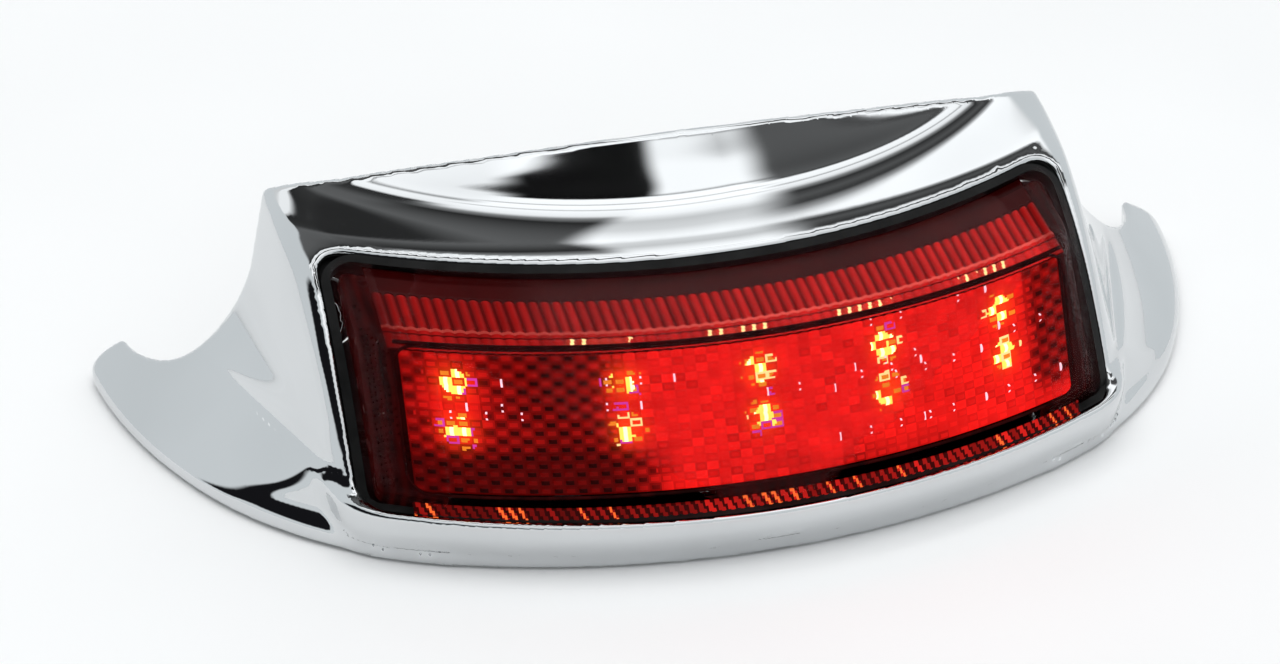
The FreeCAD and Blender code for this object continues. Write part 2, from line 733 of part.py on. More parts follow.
def turned_body(label, profile, place):
    """Round piece: a closed profile of (radius, height) points turned about local Z."""
    body = doc.addObject("PartDesign::Body", label)
    sketch = new_sketch(body, label + "_profile", "XZ_Plane")
    for index, point in enumerate(profile):
        other = profile[(index + 1) % len(profile)]
        sketch.addGeometry(Part.LineSegment(Vector(*point, 0), Vector(*other, 0)), False)
    for index in range(len(profile)):
        following = (index + 1) % len(profile)
        sketch.addConstraint(Sketcher.Constraint("Coincident", index, 2, following, 1))
    turn = body.newObject("PartDesign::Revolution", label + "_turn")
    turn.Profile = sketch
    turn.ReferenceAxis = (sketch, ["V_Axis"])
    turn.Angle = 360
    body.Placement = place
    return finish(body, label)


def lamp(name, x, y):
    """One lamp: a square base with a domed lens on top."""
    base = bound(doc.addObject("Part::Box", name + "_base"), Length="dimensions.led_base",
                 Width="dimensions.led_base", Height="dimensions.led_base_height")
    half = dim("led_base") / 2
    base.Placement = Placement(Vector(x - half, y - half, dim("gap")), Rotation())
    column = bound(doc.addObject("Part::Cylinder", name + "_column"),
                   Radius="dimensions.led_dome_radius", Height="dimensions.led_dome_height")
    column.Placement = Placement(Vector(x, y, dim("gap")), Rotation())
    dome = bound(doc.addObject("Part::Sphere", name + "_dome"),
                 Radius="dimensions.led_dome_radius")
    dome.Placement = Placement(Vector(x, y, dim("gap") + dim("led_dome_height")), Rotation())
    fused = doc.addObject("Part::MultiFuse", name)
    fused.Shapes = [base, column, dome]
    return fused


def group(label, members, place):
    """Several like pieces as one sub-part of separate solids."""
    compound = doc.addObject("Part::Compound", label)
    compound.Links = members
    compound.Placement = place
    return finish(compound, label)


def lamps(label, columns, place):
    rows = (dim("led_lower"), dim("led_upper"))
    members = [lamp(f"{label}_{column}_{row}", x, y)
               for column, x in enumerate(columns) for row, y in enumerate(rows)]
    return group(label, members, place)


def make_resistors():
    members = []
    for index, (x, y) in enumerate(((-8, -9.2), (8, -9.2), (-18, -9.2), (18, -9.2))):
        box = bound(doc.addObject("Part::Box", f"resistor_{index}"),
                    Length="dimensions.resistor_length", Width="dimensions.resistor_width",
                    Height="dimensions.resistor_height")
        box.Placement = Placement(Vector(x - dim("resistor_length") / 2, y, dim("gap")),
                                  Rotation())
        members.append(box)
    return group("resistors", members, CENTER_PLACE)


def make_diode():
    diode = bound(doc.addObject("Part::Cylinder", "diode"), Radius="dimensions.diode_radius",
                  Height="dimensions.diode_length")
    lying = Placement(Vector(-15.5, 3.0, dim("gap") + dim("diode_radius")),
                      Rotation(X_AXIS, 90))
    diode.Placement = CENTER_PLACE.multiply(lying)
    return finish(diode, "diode")


def make_regulator():
    regulator = bound(doc.addObject("Part::Box", "regulator"), Length="dimensions.regulator_width",
                      Width="dimensions.regulator_depth", Height="dimensions.regulator_height")
    regulator.Placement = CENTER_PLACE.multiply(Placement(Vector(9.8, -1.5, dim("gap")),
                                                          Rotation()))
    return finish(regulator, "regulator")


def make_capacitor():
    can = bound(doc.addObject("Part::Cylinder", "capacitor"),
                Radius="dimensions.capacitor_radius", Height="dimensions.capacitor_height")
    can.Placement = CENTER_PLACE.multiply(Placement(Vector(-9.2, 1.0, dim("gap")), Rotation()))
    return finish(can, "capacitor")


def make_header():
    """Wire header on the back of the centre board, reached through the carrier's window."""
    header = bound(doc.addObject("Part::Box", "header_block"), Length="dimensions.header_width",
                   Width="dimensions.header_depth", Height="dimensions.header_height")
    behind = -dim("board_thickness") - dim("gap") - dim("header_height")
    header.Placement = Placement(Vector(-dim("header_width") / 2, -10.2, behind), Rotation())
    slot = doc.addObject("Part::Box", "header_slot")
    slot.Length = 8.4
    slot.Width = 4.2
    slot.Height = 5.0
    slot.Placement = Placement(Vector(-4.2, -9.4, behind - 0.5), Rotation())
    cut = doc.addObject("Part::Cut", "wire_header")
    cut.Base = header
    cut.Tool = slot
    cut.Placement = CENTER_PLACE
    return finish(cut, "wire_header")


def make_header_pins():
    behind = -dim("board_thickness") - dim("gap") - dim("header_height")
    members = []
    for index in range(3):
        pin = doc.addObject("Part::Box", f"header_pin_{index}")
        pin.Length = 0.64
        pin.Width = 0.64
        pin.Height = 3.5
        pin.Placement = Placement(Vector(-2.86 + 2.54 * index, -7.6, behind + 1.0), Rotation())
        members.append(pin)
    return group("header_pins", members, CENTER_PLACE)


def make_inserts():
    """Threaded brass inserts, grooved outside, one in each mounting post."""
    outer = dim("insert_radius") - 0.03
    bore = dim("thread_radius")
    length = dim("insert_length")
    shapes = []
    for x, z in MOUNT_POINTS:
        place = on_fender(x, z)
        barrel = cylinder_at(place, outer, 0.3, 0.3 + length)
        barrel = barrel.cut(cylinder_at(place, bore, 0, length + 1))
        for start in (3.0, 6.4):
            ring = cylinder_at(place, outer + 1, start, start + 1.2)
            barrel = barrel.cut(ring.cut(cylinder_at(place, outer - 0.5, start - 1, start + 3)))
        shapes.append(barrel)
    return Part.makeCompound(shapes)


def grommet_profile():
    """Half section of the rubber grommet: two flanges either side of the cover."""
    bore = dim("grommet_hole")
    neck = dim("grommet_radius") - 0.1
    flange = dim("grommet_flange")
    rear, front = dim("cover_rear"), dim("cover_front")
    return [(bore, 0.4), (flange - 1.0, 0.4), (flange, 1.2), (flange, rear - 0.25),
            (neck, rear - 0.25), (neck, front + 0.35), (flange, front + 0.35),
            (flange - 1.0, front + 2.0), (bore, front + 2.0)]


def vent_profile():
    """Half section of the vent plug: a thin head outside and a stem through the cover."""
    head = dim("vent_head")
    stem = dim("vent_radius") - 0.1
    rear, front = dim("cover_rear"), dim("cover_front")
    return [(0, rear - 1.6), (head - 0.6, rear - 1.6), (head, rear - 1.0), (head, rear - 0.2),
            (stem, rear - 0.2), (stem, front + 2.0), (0, front + 2.0)]


def build():
    feature("housing", make_housing())
    feature("lens", make_lens())
    feature("lens_seal", make_lens_seal())
    feature("rear_cover", make_rear_cover())
    feature("cover_gasket", make_cover_gasket())
    feature("fender_foam", make_fender_foam())
    feature("cover_screws", rear_screws(COVER_SCREWS, dim("cover_screw_length")))
    feature("carrier_screws", rear_screws(CARRIER_FEET, dim("carrier_screw_length")))
    feature("mounting_inserts", make_inserts())
    turned_body("wire_grommet", grommet_profile(), on_fender(*GROMMET_POINT))
    turned_body("vent_plug", vent_profile(), on_fender(*VENT_POINT))
    feature("board_carrier", make_board_carrier())
    feature("board_screws", make_board_screws())
    board("center_board", "center_board_width", CENTER_PLACE, CENTER_HOLES)
    board("left_board", "side_board_width", LEFT_PLACE, SIDE_HOLES)
    board("right_board", "side_board_width", RIGHT_PLACE, SIDE_HOLES)
    pitch = dim("led_pitch")
    lamps("center_lamps", (-pitch, 0, pitch), CENTER_PLACE)
    lamps("left_lamps", (0,), LEFT_PLACE)
    lamps("right_lamps", (0,), RIGHT_PLACE)
    feature("jumper_wires", make_jumper_wires())
    make_resistors()
    make_diode()
    make_regulator()
    make_capacitor()
    make_header()
    make_header_pins()


def check_and_export():
    doc.recompute()
    failed = [obj.Name for obj in doc.Objects if {"Invalid", "Error"} & set(obj.State)]
    if failed:
        raise RuntimeError(f"objects failed: {failed}")
    for part in PARTS:
        if part.Shape.isNull() or not part.Shape.isValid():
            raise RuntimeError(f"bad shape: {part.Label}")
    os.makedirs("parts", exist_ok=True)
    for part in PARTS:
        part.Shape.exportStep(f"parts/{part.Label}.step")
        print(part.Label, len(part.Shape.Solids), round(part.Shape.Volume))


build()
check_and_export()
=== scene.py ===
"""The look of the fender-tip tail light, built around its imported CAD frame."""

import math

import bpy
import numpy as np
from mathutils import Matrix, Vector


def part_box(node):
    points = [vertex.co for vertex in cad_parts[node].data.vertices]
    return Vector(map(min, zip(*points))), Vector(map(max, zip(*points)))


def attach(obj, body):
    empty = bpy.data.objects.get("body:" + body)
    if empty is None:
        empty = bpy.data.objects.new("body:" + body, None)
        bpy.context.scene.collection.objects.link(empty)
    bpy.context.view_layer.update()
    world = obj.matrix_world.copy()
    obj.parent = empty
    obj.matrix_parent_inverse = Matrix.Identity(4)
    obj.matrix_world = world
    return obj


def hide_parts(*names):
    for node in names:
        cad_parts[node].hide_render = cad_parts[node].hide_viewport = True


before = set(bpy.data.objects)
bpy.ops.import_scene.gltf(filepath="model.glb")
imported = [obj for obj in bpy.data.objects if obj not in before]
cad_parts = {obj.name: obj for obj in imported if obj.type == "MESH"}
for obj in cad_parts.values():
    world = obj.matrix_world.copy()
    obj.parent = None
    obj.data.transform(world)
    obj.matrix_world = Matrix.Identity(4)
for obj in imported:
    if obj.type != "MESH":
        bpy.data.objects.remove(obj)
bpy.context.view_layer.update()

MM = 0.001


# ---- shaping tools
# Shapes are signed fields in millimetres in the row frame: negative inside, positive outside.
def union_round(a, b, radius):
    """Join two fields with a concave fillet."""
    u = np.maximum(radius - a, 0.0)
    v = np.maximum(radius - b, 0.0)
    return np.maximum(radius, np.minimum(a, b)) - np.hypot(u, v)


def common_round(a, b, radius):
    """Keep what two fields share, with the edge between them rounded."""
    u = np.maximum(radius + a, 0.0)
    v = np.maximum(radius + b, 0.0)
    return np.minimum(-radius, np.maximum(a, b)) + np.hypot(u, v)


def natural_spline(table, carry_on=None):
    """Smooth curves through rows of (height, value, ...), evaluated at given heights.

    Beyond its ends each value stays the same, or the first value carries on straight
    above or below."""
    table = np.array(table, float)
    t, values = table[:, 0], table[:, 1:]
    count = len(t)
    gaps = np.diff(t)
    system = np.eye(count)
    right = np.zeros_like(values)
    for i in range(1, count - 1):
        system[i, i - 1:i + 2] = gaps[i - 1], 2 * (gaps[i - 1] + gaps[i]), gaps[i]
        right[i] = 6 * ((values[i + 1] - values[i]) / gaps[i]
                        - (values[i] - values[i - 1]) / gaps[i - 1])
    bends = np.linalg.solve(system, right)

    def inside(height):
        i = np.clip(np.searchsorted(t, height) - 1, 0, count - 2)
        h = gaps[i]
        a = (t[i + 1] - height) / h
        b = 1 - a
        return [a * values[i, c] + b * values[i + 1, c]
                + ((a**3 - a) * bends[i, c] + (b**3 - b) * bends[i + 1, c]) * h**2 / 6
                for c in range(values.shape[1])]

    first = (inside(t[0] + 0.01)[0] - inside(t[0])[0]) / 0.01
    last = (inside(t[-1])[0] - inside(t[-1] - 0.01)[0]) / 0.01

    def curve(height):
        result = inside(np.clip(height, t[0], t[-1]))
        if carry_on == "below":
            result[0] = result[0] + first * np.minimum(height - t[0], 0)
        elif carry_on == "above":
            result[0] = result[0] + last * np.maximum(height - t[-1], 0)
        return result

    return curve


def outline(x, y, front_y, radius, corner_x, corner_radius, heading):
    """Distance in plan to a front arc with rounded corners and straight sides.

    Each corner turns from the front arc, at corner_x, to the side's heading."""
    across = np.abs(x)
    center_y = front_y + radius
    start = np.arcsin(corner_x / radius)
    turn_x = (radius - corner_radius) * np.sin(start)
    turn_y = center_y - (radius - corner_radius) * np.cos(start)
    front = np.hypot(across, center_y - y) - radius
    dx, dy = across - turn_x, turn_y - y
    corner = np.hypot(dx, dy) - corner_radius
    side = dx * np.sin(heading) + dy * np.cos(heading) - corner_radius
    in_front = np.arctan2(across, center_y - y) < start
    return np.where(in_front, front, np.where(np.arctan2(dx, dy) < heading, corner, side))


def gradient(field, points, reach=0.02):
    """Gradient of a field at points, by central differences."""
    slopes = []
    for axis in np.eye(3) * reach:
        slopes.append((field(points + axis) - field(points - axis)) / (2 * reach))
    return np.stack(slopes, axis=1)


def settle(field, points, limit):
    """Move points onto the field's surface."""
    slope = gradient(field, points)
    size = np.maximum(np.linalg.norm(slope, axis=1), 0.2)
    move = np.clip(field(points) / size, -limit, limit)
    return points - slope * (move / size)[:, None]


def sample_grid(field, low, high, step, coarse=4, batch=200000):
    """Field values on a grid; far from the surface they come from a coarser grid."""
    counts = [int(math.ceil((high[i] - low[i]) / step / coarse)) + 2 for i in range(3)]
    starts = [low[i] - 0.9 * coarse * step for i in range(3)]
    rough = np.stack(np.meshgrid(*[starts[i] + (np.arange(counts[i]) + 0.5) * coarse * step
                                   for i in range(3)], indexing="ij"), axis=-1)
    far = field(rough.reshape(-1, 3)).reshape(counts)
    for axis in range(3):
        far = np.repeat(far, coarse, axis=axis)
    values = far.astype(np.float32)
    origin = np.array(starts) + 0.5 * step
    near = np.argwhere(np.abs(far) < 1.25 * coarse * step)
    for start in range(0, len(near), batch):
        cells = near[start:start + batch]
        values[tuple(cells.T)] = field(origin + cells * step)
    return origin, values


def surface_net(field, low, high, step):
    """Quads over a field's zero surface: one vertex in each grid cell that it crosses."""
    origin, values = sample_grid(field, low, high, step)
    shape = np.array(values.shape)
    inside = values < 0
    total = np.zeros([*(shape - 1), 3], np.float32)
    count = np.zeros(shape - 1, np.int16)
    crossings = []
    for axis in range(3):
        head = [slice(None)] * 3
        tail = [slice(None)] * 3
        head[axis], tail[axis] = slice(None, -1), slice(1, None)
        first, second = values[tuple(head)], values[tuple(tail)]
        crossed = inside[tuple(head)] != inside[tuple(tail)]
        share = np.where(crossed, first / np.where(crossed, first - second, 1), 0)
        crossings.append((crossed, inside[tuple(head)]))
        others = [other for other in range(3) if other != axis]
        for j in (0, 1):
            for k in (0, 1):
                cut = [slice(None)] * 3
                cut[others[0]] = slice(j, shape[others[0]] - 1 + j)
                cut[others[1]] = slice(k, shape[others[1]] - 1 + k)
                hit = crossed[tuple(cut)]
                count += hit
                total[..., axis] += np.where(hit, share[tuple(cut)], 0)
                total[..., others[0]] += hit * j
                total[..., others[1]] += hit * k
    cells = np.argwhere(count > 0)
    index = np.full(shape - 1, -1)
    index[tuple(cells.T)] = np.arange(len(cells))
    offset = total[tuple(cells.T)] / count[tuple(cells.T)][:, None]
    points = origin + (cells + offset) * step
    quads = []
    for axis, (crossed, starts_inside) in enumerate(crossings):
        a, b = (axis + 1) % 3, (axis + 2) % 3
        edges = np.argwhere(crossed)
        keep = (edges[:, a] > 0) & (edges[:, b] > 0)
        keep &= (edges[:, a] < shape[a] - 1) & (edges[:, b] < shape[b] - 1)
        edges = edges[keep]
        ring = []
        for da, db in ((0, 0), (1, 0), (1, 1), (0, 1)):
            cell = edges.copy()
            cell[:, a] -= 1 - da
            cell[:, b] -= 1 - db
            ring.append(index[tuple(cell.T)])
        quad = np.stack(ring, axis=1)
        flip = ~starts_inside[tuple(edges.T)]
        quad[flip] = quad[flip][:, ::-1]
        quads.append(quad)
    return points, np.concatenate(quads)


def relax(points, quads):
    """Mean of each point's neighbours along the quads' edges."""
    pairs = np.concatenate([quads[:, [i, (i + 1) % 4]] for i in range(4)])
    total = np.stack([np.bincount(pairs[:, 0], points[pairs[:, 1], c], len(points))
                      + np.bincount(pairs[:, 1], points[pairs[:, 0], c], len(points))
                      for c in range(3)], axis=1)
    count = np.bincount(pairs[:, 0], minlength=len(points))
    count = count + np.bincount(pairs[:, 1], minlength=len(points))
    return total / count[:, None]


def add_object(name, data):
    obj = bpy.data.objects.new(name, data)
    bpy.context.scene.collection.objects.link(obj)
    return obj


def new_object(name, points, faces, normals=None):
    """Smooth mesh object from points in millimetres and faces."""
    mesh = bpy.data.meshes.new(name)
    places = (np.asarray(points) * MM).tolist()
    mesh.from_pydata(places, [], [list(map(int, face)) for face in faces])
    mesh.update()
    mesh.shade_smooth()
    if normals is not None:
        mesh.normals_split_custom_set_from_vertices(normals.tolist())
    return add_object(name, mesh)


def mesh_normals(points, quads):
    """Unit normals of a quad mesh at its points."""
    corners = points[quads]
    facing = np.cross(corners[:, 2] - corners[:, 0], corners[:, 3] - corners[:, 1])
    total = np.stack([np.bincount(quads.ravel(), np.repeat(facing[:, c], 4), len(points))
                      for c in range(3)], axis=1)
    return total / np.maximum(np.linalg.norm(total, axis=1), 1e-9)[:, None]


def unit(vectors):
    return vectors / np.maximum(np.linalg.norm(vectors, axis=1), 1e-6)[:, None]


def field_object(name, field, low, high, step):
    """Closed mesh of a field, its points settled on the surface.

    A point that doesn't settle, or goes too far, stays where the net put it, and a normal
    that disagrees with the mesh gives way to the mesh's own."""
    first_move, move, too_far = 0.7 * step, 0.4 * step, 1.8 * step
    points, quads = surface_net(field, low, high, step)
    start = relax(points, quads)
    points = settle(field, start, first_move)
    for _ in range(4):
        points = settle(field, points, move)
    stray = np.abs(field(points)) > move
    stray |= np.linalg.norm(points - start, axis=1) > too_far
    points[stray] = start[stray]
    normals = unit(gradient(field, points))
    facing = mesh_normals(points, quads)
    unlike = np.sum(normals * facing, axis=1) < 0.5
    normals[unlike] = facing[unlike]
    for _ in range(2):
        normals = unit(normals + relax(normals, quads))
    return new_object(name, points, quads, normals)


UNLIT_RED = (0.02, 0.001, 0.001, 1.0)


def slab_object(name, facet, x, share, depth, back, colors):
    """Closed slab under a lens facet, from depth to back; top faces get painted glow colours."""
    top, bottom = [on_facet(*facet, x, share, below)[0] for below in (depth, back)]
    rows, columns = top.shape[:2]
    index = np.arange(rows * columns).reshape(rows, columns)
    cells = np.stack([index[:-1, :-1], index[:-1, 1:], index[1:, 1:], index[1:, :-1]],
                     axis=-1).reshape(-1, 4)
    edge = np.concatenate([index[0, :-1], index[:-1, -1], index[-1, :0:-1], index[:0:-1, 0]])
    after = np.roll(edge, -1)
    under = rows * columns
    walls = np.stack([edge, edge + under, after + under, after], axis=1)
    faces = np.concatenate([cells, cells[:, ::-1] + under, walls])
    points = np.concatenate([top.reshape(-1, 3), bottom.reshape(-1, 3)])
    obj = new_object(name, points, faces)
    glow = np.full((len(faces), 4), UNLIT_RED)
    glow[:len(cells), :3] = colors.reshape(-1, 3)
    paint = obj.data.attributes.new("glow", "FLOAT_COLOR", "FACE")
    paint.data.foreach_set("color", glow.ravel())
    return obj


def tube_object(name, path, normals, radius, closed, sides=8):
    """Round bead along a path that lies on a surface with the given normals."""
    path, normals = np.asarray(path), np.asarray(normals)
    along = np.roll(path, -1, axis=0) - np.roll(path, 1, axis=0)
    if not closed:
        along[0], along[-1] = path[1] - path[0], path[-1] - path[-2]
    across = np.cross(along, normals)
    across /= np.linalg.norm(across, axis=1)[:, None]
    turns = np.arange(sides) * 2 * math.pi / sides
    rings = path[:, None] + radius * (np.cos(turns)[None, :, None] * across[:, None]
                                      + np.sin(turns)[None, :, None] * normals[:, None])
    faces = []
    count = len(path)
    for i in range(count if closed else count - 1):
        for k in range(sides):
            here, there = i * sides, (i + 1) % count * sides
            faces.append((here + k, there + k, there + (k + 1) % sides, here + (k + 1) % sides))
    if not closed:
        faces.append(list(range(sides)))
        faces.append([(count - 1) * sides + k for k in reversed(range(sides))])
    return new_object(name, rings.reshape(-1, 3), faces)


def show(piece, slot, material, *nodes):
    """A piece rides on the body, takes its material, and stands for CAD nodes; slot is not used.
    """
    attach(piece, "root")
    if nodes:
        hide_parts(*nodes)
    piece.data.materials.append(material)


# ---- form of the light
# Levels of the front: (height, front y, plan radius).
LIP = natural_spline([(-2.0, -44.4, 165), (3.0, -46.5, 160), (8.0, -48.7, 157),
                      (12.2, -49.5, 156)])
SIDES = natural_spline([(12.2, -46.8, 140), (19, -41.8, 140), (25, -36.7, 140),
                        (30, -31.8, 140), (35, -25.8, 140), (39, -19.8, 140),
                        (42, -14.0, 140), (44.3, -9.5, 131)], "above")
HOOD = natural_spline([(44.3, -9.5, 131), (45.3, -4.5, 124), (46.9, 2.2, 111.5),
                       (50, 9.6, 103.5), (53.2, 16.0, 97), (56.2, 22.0, 91),
                       (59.5, 28.4, 84.6)], "below")
LIP_TOP, LIP_EDGE, LIP_FILLET, HOOD_EDGE = 12.2, 1.2, 2.2, 1.6
LIP_CORNER, LIP_HEADING = 17.0, math.radians(75)
HOOD_CORNER, HOOD_HEADING = 22.0, math.radians(70)
FRONT_CORNER_X = 70.5

# The lens opening lies in a plane that rises by SLANT; OUTWARD is its normal.
SLANT = math.radians(38.7)
OUTWARD = np.array([0.0, -math.sin(SLANT), math.cos(SLANT)])
OPENING_FOOT_Y, OPENING_FOOT_Z, OPENING_RISE = -49.0, 12.6, 50.66
OPENING_FRONT_RADIUS, OPENING_TOP_RADIUS = 184.8, 168.7
OPENING_HALF, OPENING_CORNER = 74.6, 5.5
OPENING_DEPTH, OPENING_EDGE, NEAR_OPENING = 7.0, 1.1, 1.2

FENDER_LEAN = math.radians(22.6)
FENDER_REAR, FENDER_CROWN, FENDER_SHOULDER, FENDER_HALF = -1.6, 190.0, 28.0, 109.5
FENDER_EDGE = 1.7

# The rim in plan: three arcs of (centre x, centre y, radius), and where the first two end.
RIM_ARCS = ((0.0, 128.6, 173.6), (29.46, 43.03, 83.1), (-6.13, 63.58, 124.2))
RIM_TURNS = (math.radians(19), math.radians(60))
RIM_TOP, RIM_FILLET = 14.0, 1.2
# Its section: (height, inset).
RIM_BAND = natural_spline([(0.0, 0.9), (0.5, 0.25), (1.4, 0.0), (2.6, 0.1), (4.0, 0.7),
                           (5.6, 1.7), (8.0, 2.6), (11.0, 3.6), (14.0, 4.6)])
WING_SLOPE = math.radians(28.0)
WING_EDGE_HEIGHT, WING_EDGE_INSET = 4.8, 2.2
WING_FILLET, WING_EDGE, WING_WALL, WING_ROOF, WING_BACK = 12.0, 0.9, 3.0, 3.2, 45.5
TIP_X, TIP_Y, TIP_CORNER, TIP_EDGE = 117.2, 49.5, 5.0, 1.0

WALL_X, WALL_Y, WALL_RADIUS, WALL_LEAN = -98.2, 46.0, 192.7, 0.30
FRONT_WALL, SIDE_WALL, ROOM_FLOOR, SKIN = 3.2, 2.8, 3.0, 1.5
LEDGE_OFF_SKIN, LEDGE_HALF, LEDGE_WIDTH, LEDGE_BITE = 7.1, 1.3, 2.8, 0.4
MOUNT_POINTS = [(-71, 24), (71, 24)]
POST_RADIUS, POST_START, POST_END, POST_INSET = 7.0, 0.4, 15.0, 1.0
SEAT_RADIUS, SEAT_START, SEAT_END = 4.0, -1.0, 11.5
LEVEL_REACH = 0.05


def flattened(field_at, z):
    """A plan distance made true to its slope in height."""
    here = field_at(z)
    return here / np.sqrt(1 + ((field_at(z + LEVEL_REACH) - here) / LEVEL_REACH)**2)


def band_field(points, levels, corner_radius, heading):
    """One band of the front, between levels that give its front's place and radius."""
    x, y, z = points.T

    def at(height):
        front_y, radius = levels(height)
        return outline(x, y, front_y, radius, FRONT_CORNER_X, corner_radius, heading)

    return flattened(at, z)


def front_field(points, depth=0.0):
    """The front of the light: lip, sides and hood, sunk by depth square to the opening."""
    p = points + depth * OUTWARD
    z = p[:, 2]
    lip = common_round(band_field(p, LIP, LIP_CORNER, LIP_HEADING), z - LIP_TOP, LIP_EDGE)
    sides = band_field(p, SIDES, HOOD_CORNER, HOOD_HEADING)
    hood = band_field(p, HOOD, HOOD_CORNER, HOOD_HEADING)
    return union_round(lip, common_round(sides, hood, HOOD_EDGE), LIP_FILLET)


def rim_distance(x, y):
    """Distance in plan to the rim: three tangent arcs on each side."""
    places = [(np.abs(x) - center_x, center_y - y) for center_x, center_y, _ in RIM_ARCS]
    front, side, tip = [np.hypot(*place) - arc[2] for place, arc in zip(places, RIM_ARCS)]
    in_front, in_side = [np.arctan2(*place) < turn for place, turn in zip(places, RIM_TURNS)]
    return np.where(in_front, front, np.where(in_side, side, tip))


def rim_field(points):
    """The rim band, rounded along its foot and drawn in towards its top."""
    x, y, z = points.T
    away = rim_distance(x, y)
    side = flattened(lambda height: away + RIM_BAND(height)[0], z)
    return np.maximum(side, z - RIM_TOP)


def wing_field(points, drop=0.0):
    """Below the sloping tops of the wings, lowered by drop."""
    x, y, z = points.T
    inward = -rim_distance(x, y) - WING_EDGE_INSET
    top = WING_EDGE_HEIGHT - drop + math.tan(WING_SLOPE) * inward
    return (z - top) * math.cos(WING_SLOPE)


def walls_field(points, inset=0.0):
    """Between the two side walls."""
    x, y, z = points.T
    radius = WALL_RADIUS - inset - WALL_LEAN * z
    away = np.hypot(np.abs(x) - WALL_X, y - WALL_Y)
    return (away - radius) / math.hypot(1, WALL_LEAN)


def fender_field(points):
    """Distance to the fender's skin, negative inside the fender."""
    x, y, z = points.T
    along = (y - FENDER_REAR) * math.cos(FENDER_LEAN) - z * math.sin(FENDER_LEAN)
    start = math.asin((FENDER_HALF - FENDER_SHOULDER) / (FENDER_CROWN - FENDER_SHOULDER))
    corner_x = FENDER_CROWN * math.sin(start)
    return outline(x, along, 0.0, FENDER_CROWN, corner_x, FENDER_SHOULDER, math.pi / 2)


def opening_field(points, inset=0.0):
    """Prism through the lens opening, square to its slanted plane."""
    x, y, z = points.T
    up = (y - OPENING_FOOT_Y) * math.cos(SLANT) + (z - OPENING_FOOT_Z) * math.sin(SLANT)
    radius, top_radius = OPENING_FRONT_RADIUS - inset, OPENING_TOP_RADIUS + inset
    front = np.hypot(x, up - inset - radius) - radius
    top = top_radius - np.hypot(x, up - (OPENING_RISE - inset + top_radius))
    side = np.abs(x) - (OPENING_HALF - inset)
    corner = OPENING_CORNER - inset
    return np.maximum(common_round(front, side, corner), common_round(top, side, corner))


def room_field(points):
    """The room inside the housing's walls."""
    room = np.maximum(front_field(points, FRONT_WALL), walls_field(points, SIDE_WALL))
    return np.maximum(room, ROOM_FLOOR - points[:, 2])


def on_fender(x, z):
    """Point on the fender's skin and its normal."""
    sag = FENDER_CROWN - math.sqrt(FENDER_CROWN**2 - x**2)
    y = FENDER_REAR + sag / math.cos(FENDER_LEAN) + z * math.tan(FENDER_LEAN)
    facing = math.sqrt(1 - (x / FENDER_CROWN)**2)
    normal = np.array([x / FENDER_CROWN, -facing * math.cos(FENDER_LEAN),
                       facing * math.sin(FENDER_LEAN)])
    return np.array([x, y, z]), normal


def post_field(points, place, radius, start, end):
    """Round post on the fender's normal, from start to end off the skin."""
    base, normal = on_fender(*place)
    along = (points - base) @ normal
    away = np.linalg.norm(points - base - along[:, None] * normal, axis=1)
    return np.maximum(away - radius, np.maximum(start - along, along - end))


def block_field(points):
    """Outside of the housing as one solid block, before the fender is cut from it."""
    x, y = points[:, 0], points[:, 1]
    body = union_round(rim_field(points), front_field(points), RIM_FILLET)
    under = union_round(walls_field(points), wing_field(points), WING_FILLET)
    block = common_round(body, under, WING_EDGE)
    tips = common_round(np.abs(x) - TIP_X, y - TIP_Y, TIP_CORNER)
    return common_round(block, tips, TIP_EDGE)


def under_wings_field(points):
    """Hollow under the wings, outside the side walls."""
    x, y = points[:, 0], points[:, 1]
    hollow = np.maximum(rim_distance(x, y) + WING_WALL, wing_field(points, WING_ROOF))
    hollow = np.maximum(hollow, -walls_field(points, -WING_WALL))
    return np.maximum(hollow, np.maximum(WING_ROOF - fender_field(points), y - WING_BACK))


def hollow_out(shell, points):
    """The room inside, with the ledge and the mounting posts left standing."""
    room = room_field(points)
    shell = np.maximum(shell, -room)
    ledge = np.maximum(np.maximum(room - LEDGE_BITE, -room - LEDGE_WIDTH),
                       np.abs(fender_field(points) - LEDGE_OFF_SKIN) - LEDGE_HALF)
    inside_walls = walls_field(points, POST_INSET)
    for place in MOUNT_POINTS:
        post = post_field(points, place, POST_RADIUS, POST_START, POST_END)
        ledge = np.minimum(ledge, np.maximum(post, inside_walls))
    return np.minimum(shell, np.maximum(ledge, front_field(points, OPENING_DEPTH)))


def housing_field(points):
    """The chrome housing: the block, less the fender, its hollows and the lens opening."""
    z = points[:, 2]
    block = block_field(points)
    shell = np.maximum(common_round(block, -fender_field(points), FENDER_EDGE), -z)
    shell = np.maximum(shell, -under_wings_field(points))
    deep = block < -SKIN
    shell[deep] = hollow_out(shell[deep], points[deep])
    window = opening_field(points)
    near = window < NEAR_OPENING
    cutter = np.maximum(window[near], -front_field(points[near], OPENING_DEPTH))
    cutter = np.maximum(cutter, ROOM_FLOOR - z[near])
    shell[near] = common_round(shell[near], -cutter, OPENING_EDGE)
    for place in MOUNT_POINTS:
        seat = post_field(points, place, SEAT_RADIUS, SEAT_START, SEAT_END)
        shell = np.maximum(shell, -seat)
    return shell


def make_housing():
    low, high = [np.array(corner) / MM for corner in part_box("housing")]
    step = 0.8
    return field_object("chrome_housing", housing_field, low, high, step)


